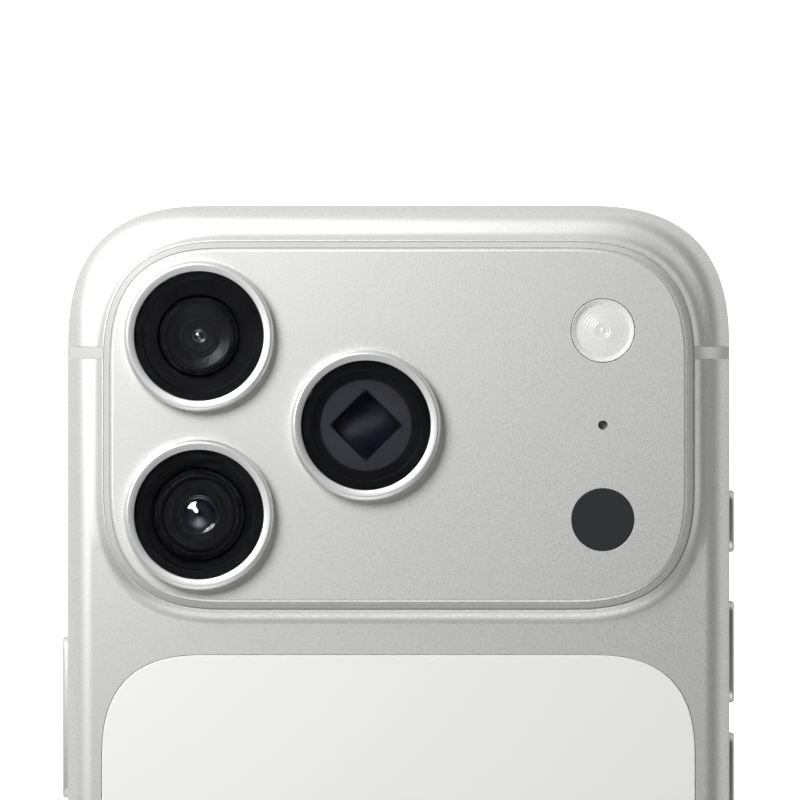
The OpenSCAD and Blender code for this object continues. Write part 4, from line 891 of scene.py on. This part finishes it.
class PHONE_OT_lenses(bpy.types.Operator):
    """Turns the lens glasses, the black funnels under them, the barrels and their front elements."""
    bl_idname = "phone.lenses"
    bl_label = "Lenses"

    def execute(self, context):
        for name in CAMERAS:
            at, radius, foot, top = disc(name + "_glass")
            top -= GLASS_RECESS
            edge = 0.1
            section = np.concatenate([
                line((0, foot), (radius - 0.05, foot), (radius, foot + 0.05), (radius, top - edge)),
                arc((radius - edge, top - edge), edge, 0, 90, 6)[1:], line((0, top))])
            glass = Surface().grid(turned(at, section, FINE_ROUND)).build(
                name + "_cover", "clear_lens_glass", 20.0)
            finished(glass, "phone_body", "lens_glass", name + "_glass")
        self.funnel("ultra_wide", 6.0, 4.55, 11.55)
        self.funnel("wide", 5.9, 5.2, 11.75)
        self.funnel("tele", 5.95, 4.3, 11.3)
        self.barrel("ultra_wide", 2.35, [(1.7, 0.06), (0.75, 0.05)], (0.37, 0.75))
        self.barrel("wide", 3.85, [(2.9, 0.1), (2.2, 0.05)], (1.4, 2.1))
        self.tele()
        return {"FINISHED"}

    def funnel(self, name, mouth, neck, floor):
        """Black ring under the glass that falls in fine steps to the barrel."""
        at, radius, glass_low, _ = disc(name + "_glass")
        rim = radius + 0.02
        bore = rim - 0.77
        steps = 9
        tread = np.linspace(mouth, neck, steps)
        height = np.linspace(glass_low - 0.12, floor, steps)
        stairs = np.stack([np.repeat(tread, 2)[1:], np.repeat(height, 2)[:-1]], 1)
        section = np.concatenate([
            line((bore, glass_low - 0.12), (rim, glass_low - 0.12), (rim, glass_low - 0.03),
                 (mouth + 0.12, glass_low - 0.03), (mouth + 0.1, glass_low - 0.1)), stairs,
            line((neck, floor - 0.25), (bore, floor - 0.25))])
        piece = Surface().grid(turned(at, section, FINE_ROUND), close_rows=True).build(
            name + "_funnel", "black_print", 20.0)
        finished(piece, "phone_body", "lens_barrel")

    def barrel(self, name, opening, baffles, eye):
        """Stepped barrel whose face falls in a cone to its opening, and a front element: a dome in a
        shallow bowl, so that both slopes face the light somewhere."""
        at, radius, foot, top = disc(name + "_barrel")
        rim = radius - 0.5
        ledge = top - 0.55
        section = [(0, foot), (radius, foot), (radius, top - 0.6), (rim + 0.12, top - 0.6),
                   (rim + 0.1, top - 0.08), (rim, top), (rim - 0.18, top), (rim - 0.25, top - 0.08)]
        section += [(rim - 0.25 + (opening - rim + 0.25) * k, top - 0.1 - 0.35 * k)
                    for k in np.linspace(0, 1, 7)]
        section += [(opening - 0.05, top - 0.42), (opening - 0.12, ledge)]
        depth = ledge
        for reach, fall in baffles:
            section += [(reach + 0.06, depth), (reach + 0.04, depth + 0.05), (reach, depth + 0.05)]
            depth -= fall
            section += [(reach - 0.03, depth)]
        section += [(eye[1] + 0.02, depth), (eye[1] + 0.02, depth - 0.5), (0, depth - 0.5)]
        piece = Surface().grid(turned(at, np.array(section, float), 120)).build(
            name + "_barrel_face", "barrel_black", 25.0)
        finished(piece, name + "_barrel", "lens_barrel", name + "_barrel")
        dome, bowl = eye
        r = np.linspace(0, bowl, 40)
        swing = 0.42 * dome / 2.2
        valley = dome * 1.25
        rise = ((r - valley) / max(bowl - valley, 1e-6)).clip(0, 1)
        height = np.where(r < valley, swing * np.cos(np.pi * r / valley), -swing * np.cos(np.pi * rise))
        face = np.stack([r, depth - 0.15 + height], 1)
        section = np.concatenate([line((0, depth - 0.45), (bowl, depth - 0.45)), face[::-1]])
        piece = Surface().grid(turned(at, section, 96)).build(
            name + "_element", "coated_element", 40.0)
        finished(piece, name + "_barrel", "lens_barrel")

    def tele(self):
        """Square sight turned by 45 degrees in a round black face, over a prism window."""
        at = middle("tele_glass")[:2]
        top = float(corners("tele_camera_case")[1][2])
        rim, opening = 4.25, 4.0
        square, _ = outline(5.4, 5.4, 0.9, 2.4)
        c = math.cos(math.pi / 4)
        turn = np.array([[c, -c], [c, c]])
        loop = square @ turn.T
        count = 96
        sight = Surface()
        inner = np.c_[loop + at, np.full(len(loop), top - 0.62)]
        upper = np.c_[loop * 1.04 + at, np.full(len(loop), top - 0.5)]
        section = line((opening, top - 0.5), (rim, top - 0.42), (5.88, top - 0.36), (5.88, top - 0.9),
                       (opening, top - 0.95))
        outer_grid = turned(at, section, count)
        sight.grid(outer_grid)
        sight.panel(outer_grid[0], [upper], top - 0.5)
        low_loop = np.c_[loop + at, np.full(len(loop), top - 0.95)]
        sight.grid(np.stack([upper, inner, low_loop]))
        sight.panel(outer_grid[-1], [low_loop], top - 0.95)
        piece = sight.build("tele_sight", "black_print", 25.0)
        finished(piece, "phone_body", "lens_barrel")
        cells = 61
        span = np.linspace(-3.6, 3.6, cells)
        u, v = np.meshgrid(span, span, indexing="ij")
        bulge = (0.35 * np.exp(-((u + 1.4) / 1.5) ** 2 - (v / 2.4) ** 2)
                 - 0.3 * np.exp(-((u - 1.3) / 1.5) ** 2 - (v / 2.4) ** 2))
        x, y = (u + v) * c, (-u + v) * c
        z = top - 1.6 + bulge
        rows = np.stack([at[0] + x, at[1] + y, z], 2)
        window = Surface()
        start = window.add(rows)
        index = start + np.arange(cells * cells).reshape(cells, cells)
        quads = np.stack([index[:-1, :-1], index[1:, :-1], index[1:, 1:], index[:-1, 1:]], 2).reshape(-1, 4)
        window.faces += quads.tolist()
        edge = np.concatenate([rows[0, :-1], rows[:-1, -1], rows[-1, :0:-1], rows[:0:-1, 0]])
        below = edge.copy()
        below[:, 2] = top - 2.1
        window.grid(np.stack([edge, below])).cap(below)
        piece = window.build("tele_window", "coated_element", 40.0)
        finished(piece, "phone_body", "prism_glass")


# ---- Flash and scanner ----

class PHONE_OT_sensors(bpy.types.Operator):
    """Turns the flash lens with its rings and the flush scanner window."""
    bl_idname = "phone.sensors"
    bl_label = "Flash and scanner"

    def execute(self, context):
        at, radius, foot, top = disc("flash_lens")
        dish, eye = radius * 0.82, radius * 0.26
        r = np.linspace(dish, 0.0, 121)
        bowl = 0.13 * np.cos(math.pi * r / dish) * (r > eye)
        pupil = 0.13 * math.cos(math.pi * eye / dish) - 0.1 * (1 - (r / eye) ** 2).clip(0, 1)
        bead = 0.1 * (1 - (r / 0.28) ** 2).clip(0, 1)
        ridges = 0.008 * np.cos(2 * math.pi * r / 0.3)
        centre = np.stack([r, top - 0.3 + np.where(r > eye, bowl, pupil) + bead + ridges], 1)
        section = np.concatenate([
            line((0, foot), (radius, foot), (radius, top - 0.02), (radius - 0.03, top), (radius - 0.08, top),
                 (dish + 0.16, top - 0.34), (dish + 0.12, top - 0.36), (dish + 0.08, top - 0.42)), centre])
        piece = Surface().grid(turned(at, section, FINE_ROUND)).build(
            "flash_diffuser", "flash_diffuser", 40.0)
        finished(piece, "phone_body", "flash_lens", "flash_lens")
        at, radius, foot, top = disc("scanner_window")
        section = line((0, foot), (radius, foot), (radius, top - 0.05), (radius - 0.05, top),
                       (radius - 0.12, top), (0, top))
        piece = Surface().grid(turned(at, section, FINE_ROUND)).build(
            "scanner_cover", "scanner_glass", 40.0)
        finished(piece, "phone_body", "lens_glass", "scanner_window")
        return {"FINISHED"}


# ---- Keys, tray and screws ----

class PHONE_OT_keys(bpy.types.Operator):
    """Builds the five keys as stadium sections along X, with a rounded cap edge."""
    bl_idname = "phone.keys"
    bl_label = "Keys"

    def execute(self, context):
        for node, sign in KEYS.items():
            low, high = corners(node)
            length = float(high[1] - low[1]) - FLANGE
            y = float(low[1] + high[1]) / 2
            outer = float(max(abs(low[0]), abs(high[0])))
            edge = 0.32 if node != "camera_key" else 0.12
            t = np.radians(np.linspace(0, 90, 8))
            reach = outer - edge + edge * np.sin(t)
            shrink = 2 * edge * (1 - np.cos(t))
            rows = [(33.65, 1.2, 1.2), (33.9, 1.2, 1.2), (33.9, length + FLANGE, KEY_HEIGHT + FLANGE),
                    (34.4, length + FLANGE, KEY_HEIGHT + FLANGE), (34.4, length, KEY_HEIGHT)]
            rows += [(a, length - b, KEY_HEIGHT - b) for a, b in zip(reach, shrink)]
            rows += [(outer, length - 2 * edge - 0.12, KEY_HEIGHT - 2 * edge - 0.12)]
            piece = Surface().capped(pill_rows(rows, 0, (y, RAIL_Z), sign)).build(
                node + "_cap", "key_aluminium", 40.0)
            finished(piece, node, "camera_key" if node == "camera_key" else "body_metal", node)
        return {"FINISHED"}


class PHONE_OT_tray(bpy.types.Operator):
    """Builds the card tray: a face plate with softened edges, a thin tray with its pocket, a pin hole."""
    bl_idname = "phone.tray"
    bl_label = "Card tray"

    def execute(self, context):
        low, high = corners("sim_tray")
        y = float(low[1] + high[1]) / 2
        face, edge = float(high[1] - low[1]), 0.08
        rows = [(34.7, face, PLATE_HEIGHT), (HALF_W - edge, face, PLATE_HEIGHT),
                (HALF_W, face - 2 * edge, PLATE_HEIGHT - 2 * edge),
                (HALF_W, face - 2 * edge - 0.1, PLATE_HEIGHT - 0.1 - 2 * edge)]
        plate = Surface().capped(pill_rows(rows, 0, (y, RAIL_Z))).build("work_plate")
        mesh = plate.data.copy()
        bpy.data.objects.remove(plate)
        half = face / 2 - 0.75
        mesh = cut(mesh, block((low[0], y - half, RAIL_Z - 0.6), (34.9, y + half, RAIL_Z + 0.6)), "UNION")
        card = float(low[0]) + 1.2
        mesh = cut(mesh, block((card, y - 6.2, RAIL_Z - 0.2), (card + 8.9, y + 6.2, RAIL_Z + 1)))
        mesh = cut(mesh, block((card + 0.6, y - 5.6, RAIL_Z - 1), (card + 8.3, y + 5.6, RAIL_Z + 1)))
        rows = [(34.2, 0.9, 0.9), (HALF_W - 0.06, 0.9, 0.9), (HALF_W, 1.02, 1.02), (HALF_W + 1, 1.02, 1.02)]
        mesh = cut(mesh, Surface().capped(pill_rows(rows, 0, (y - face / 2 + 2, RAIL_Z))))
        piece = dressed(mesh, "card_tray", "key_aluminium", 32.0, even=True)
        finished(piece, "sim_tray", "body_metal", "sim_tray")
        return {"FINISHED"}


class PHONE_OT_screws(bpy.types.Operator):
    """Turns the two end screws: a domed head with a five-lobed recess on a plain shank."""
    bl_idname = "phone.screws"
    bl_label = "End screws"

    def execute(self, context):
        low, high = corners("end_screws")
        face, tip = -float(low[1]), -float(high[1])
        screws = Surface()
        for sign in (-1, 1):
            profile = line((0, tip), (0.5, tip), (0.5, face - 0.7), (0.85, face - 0.7), (0.85, face - 0.12),
                           (0.78, face - 0.03), (0.66, face), (0.5, face))
            grid = turned((0, 0), profile, 80)
            socket = line((0.4, face), (0.38, face - 0.05), (0.36, face - 0.4), (0, face - 0.4))
            recess = turned((0, 0), socket, 80, 5, 0.14)
            both = np.concatenate([grid, recess])
            placed = np.stack([sign * END_SCREW_X + both[..., 0], -both[..., 2], RAIL_Z + both[..., 1]], 2)
            screws.grid(placed)
        piece = screws.build("end_screw_pair", "inner_steel", 30.0)
        finished(piece, "phone_body", "steel", "end_screws")
        return {"FINISHED"}


# ---- Stage ----

class PHONE_OT_stage(bpy.types.Operator):
    """Sets the pale floor, the studio walls, the soft key light and the camera."""
    bl_idname = "phone.stage"
    bl_label = "Stage, light and camera"

    def execute(self, context):
        studio = context.scene.phone_studio
        scene = context.scene
        scene.view_settings.view_transform = "Standard"
        self.floor()
        self.walls(studio)
        self.lamp("key_light", (-0.12, 0.17, 0.22), 0.14, studio.key_power)
        self.lamp("side_light", (-0.20, 0.24, 0.20), 0.16, studio.side_power)
        camera = bpy.data.cameras.new("camera")
        camera.sensor_width = 36
        camera.lens = 36 * (studio.distance - TOP_Z * MM) / studio.width
        camera.clip_start = 0.05
        camera.clip_end = 50
        view = bpy.data.objects.new("camera", camera)
        view.location = (studio.centre_x, studio.centre_y, studio.distance)
        scene.collection.objects.link(view)
        scene.camera = view
        return {"FINISHED"}

    def floor(self):
        """Pale floor: a flat disc, lit evenly from below like a light table."""
        radius = np.linspace(0, 6000, 40)
        grid = turned((0, 0), np.stack([radius, np.full(40, -0.02)], 1), 64)
        floor = Surface().grid(grid)
        mesh = bpy.data.meshes.new("floor")
        mesh.from_pydata((np.concatenate(floor.points) * MM).tolist(), [], floor.faces)
        piece = bpy.data.objects.new("floor", mesh)
        bpy.context.scene.collection.objects.link(piece)
        pale = make_material("pale_floor", (0.5, 0.5, 0.5), 0.7, grain=40.0, cloud=4.0, contrast=0.01,
                             Emission_Color=(1, 1, 1, 1))
        nodes, links = pale.node_tree.nodes, pale.node_tree.links
        path = nodes.new("ShaderNodeLightPath")
        glow = maths(nodes, links, "ADD", path.outputs["Is Camera Ray"], 0.25)
        links.new(glow, nodes["Principled BSDF"].inputs["Emission Strength"])
        mesh.materials.append(pale)

    def lamp(self, name, place, size, power):
        """Round soft light that faces the camera plateau."""
        light = bpy.data.lights.new(name, "AREA")
        light.shape = "DISK"
        light.size = size
        light.energy = power
        lamp = bpy.data.objects.new(name, light)
        lamp.location = place
        lamp.rotation_euler = (Vector((0, 0.05, 0.01)) - lamp.location).to_track_quat("-Z", "Y").to_euler()
        bpy.context.scene.collection.objects.link(lamp)

    def walls(self, studio):
        """Studio walls: soft glows of brightness strength times exp(k (cos angle - 1)), each angle taken
        from the glow's own direction; seen directly, the walls are pale."""
        world = bpy.data.worlds.new("studio_walls")
        bpy.context.scene.world = world
        world.use_nodes = True
        nodes, links = world.node_tree.nodes, world.node_tree.links
        background = nodes["Background"]
        place = nodes.new("ShaderNodeTexCoord")
        total = None
        glows = [(azimuth, 0, studio.side_glow) for azimuth in SIDE_AZIMUTHS]
        for azimuth, elevation, strength in [*glows, (FOOT_AZIMUTH, FOOT_ELEVATION, studio.foot_glow)]:
            turn, rise = math.radians(azimuth), math.radians(elevation)
            dot = nodes.new("ShaderNodeVectorMath")
            dot.operation = "DOT_PRODUCT"
            dot.inputs[1].default_value = (math.cos(turn) * math.cos(rise), math.sin(turn) * math.cos(rise),
                                           math.sin(rise))
            links.new(place.outputs["Generated"], dot.inputs[0])
            away = maths(nodes, links, "SUBTRACT", dot.outputs["Value"], 1.0)
            fall = maths(nodes, links, "MULTIPLY", away, GLOW_FOCUS)
            glow = maths(nodes, links, "MULTIPLY", maths(nodes, links, "EXPONENT", fall), strength)
            total = glow if total is None else maths(nodes, links, "ADD", total, glow)
        path = nodes.new("ShaderNodeLightPath")
        blend = nodes.new("ShaderNodeMix")
        links.new(path.outputs["Is Camera Ray"], blend.inputs[0])
        links.new(total, blend.inputs[2])
        blend.inputs[3].default_value = 1.0
        links.new(blend.outputs[0], background.inputs["Strength"])
        background.inputs["Color"].default_value = (1, 1, 1, 1)


# Soft glows round the phone: equal ones at the sides and the head, and one above the foot
SIDE_AZIMUTHS = (0, 45, 90, 135, 180)
FOOT_AZIMUTH, FOOT_ELEVATION = 270, 30
GLOW_FOCUS = 9.5


OPERATORS = (PHONE_OT_materials, PHONE_OT_body, PHONE_OT_panels, PHONE_OT_rings, PHONE_OT_lenses,
             PHONE_OT_sensors, PHONE_OT_keys, PHONE_OT_tray, PHONE_OT_screws, PHONE_OT_stage)


class PHONE_PT_panel(bpy.types.Panel):
    """Lists the building steps and the sizes."""
    bl_idname = "PHONE_PT_panel"
    bl_label = "Phone"
    bl_space_type = "VIEW_3D"
    bl_region_type = "UI"
    bl_category = "Phone"

    def draw(self, context):
        for step in OPERATORS:
            self.layout.operator(step.bl_idname)
        for name in PROPERTIES:
            group = getattr(context.scene, name)
            for key in group.__annotations__:
                self.layout.prop(group, key)


PROPERTIES = {"phone_body": PhoneBodySizes, "phone_finish": PhoneFinish, "phone_lens": PhoneLensSizes,
              "phone_studio": PhoneStudio}


def register():
    for kind in (*PROPERTIES.values(), *OPERATORS, PHONE_PT_panel):
        bpy.utils.register_class(kind)
    for name, kind in PROPERTIES.items():
        setattr(bpy.types.Scene, name, bpy.props.PointerProperty(type=kind))


def unregister():
    for name in PROPERTIES:
        delattr(bpy.types.Scene, name)
    for kind in (PHONE_PT_panel, *OPERATORS[::-1], *PROPERTIES.values()):
        bpy.utils.unregister_class(kind)


def main():
    register()
    for step in OPERATORS:
        group, name = step.bl_idname.split(".")
        getattr(getattr(bpy.ops, group), name)()


if __name__ == "__main__":
    main()
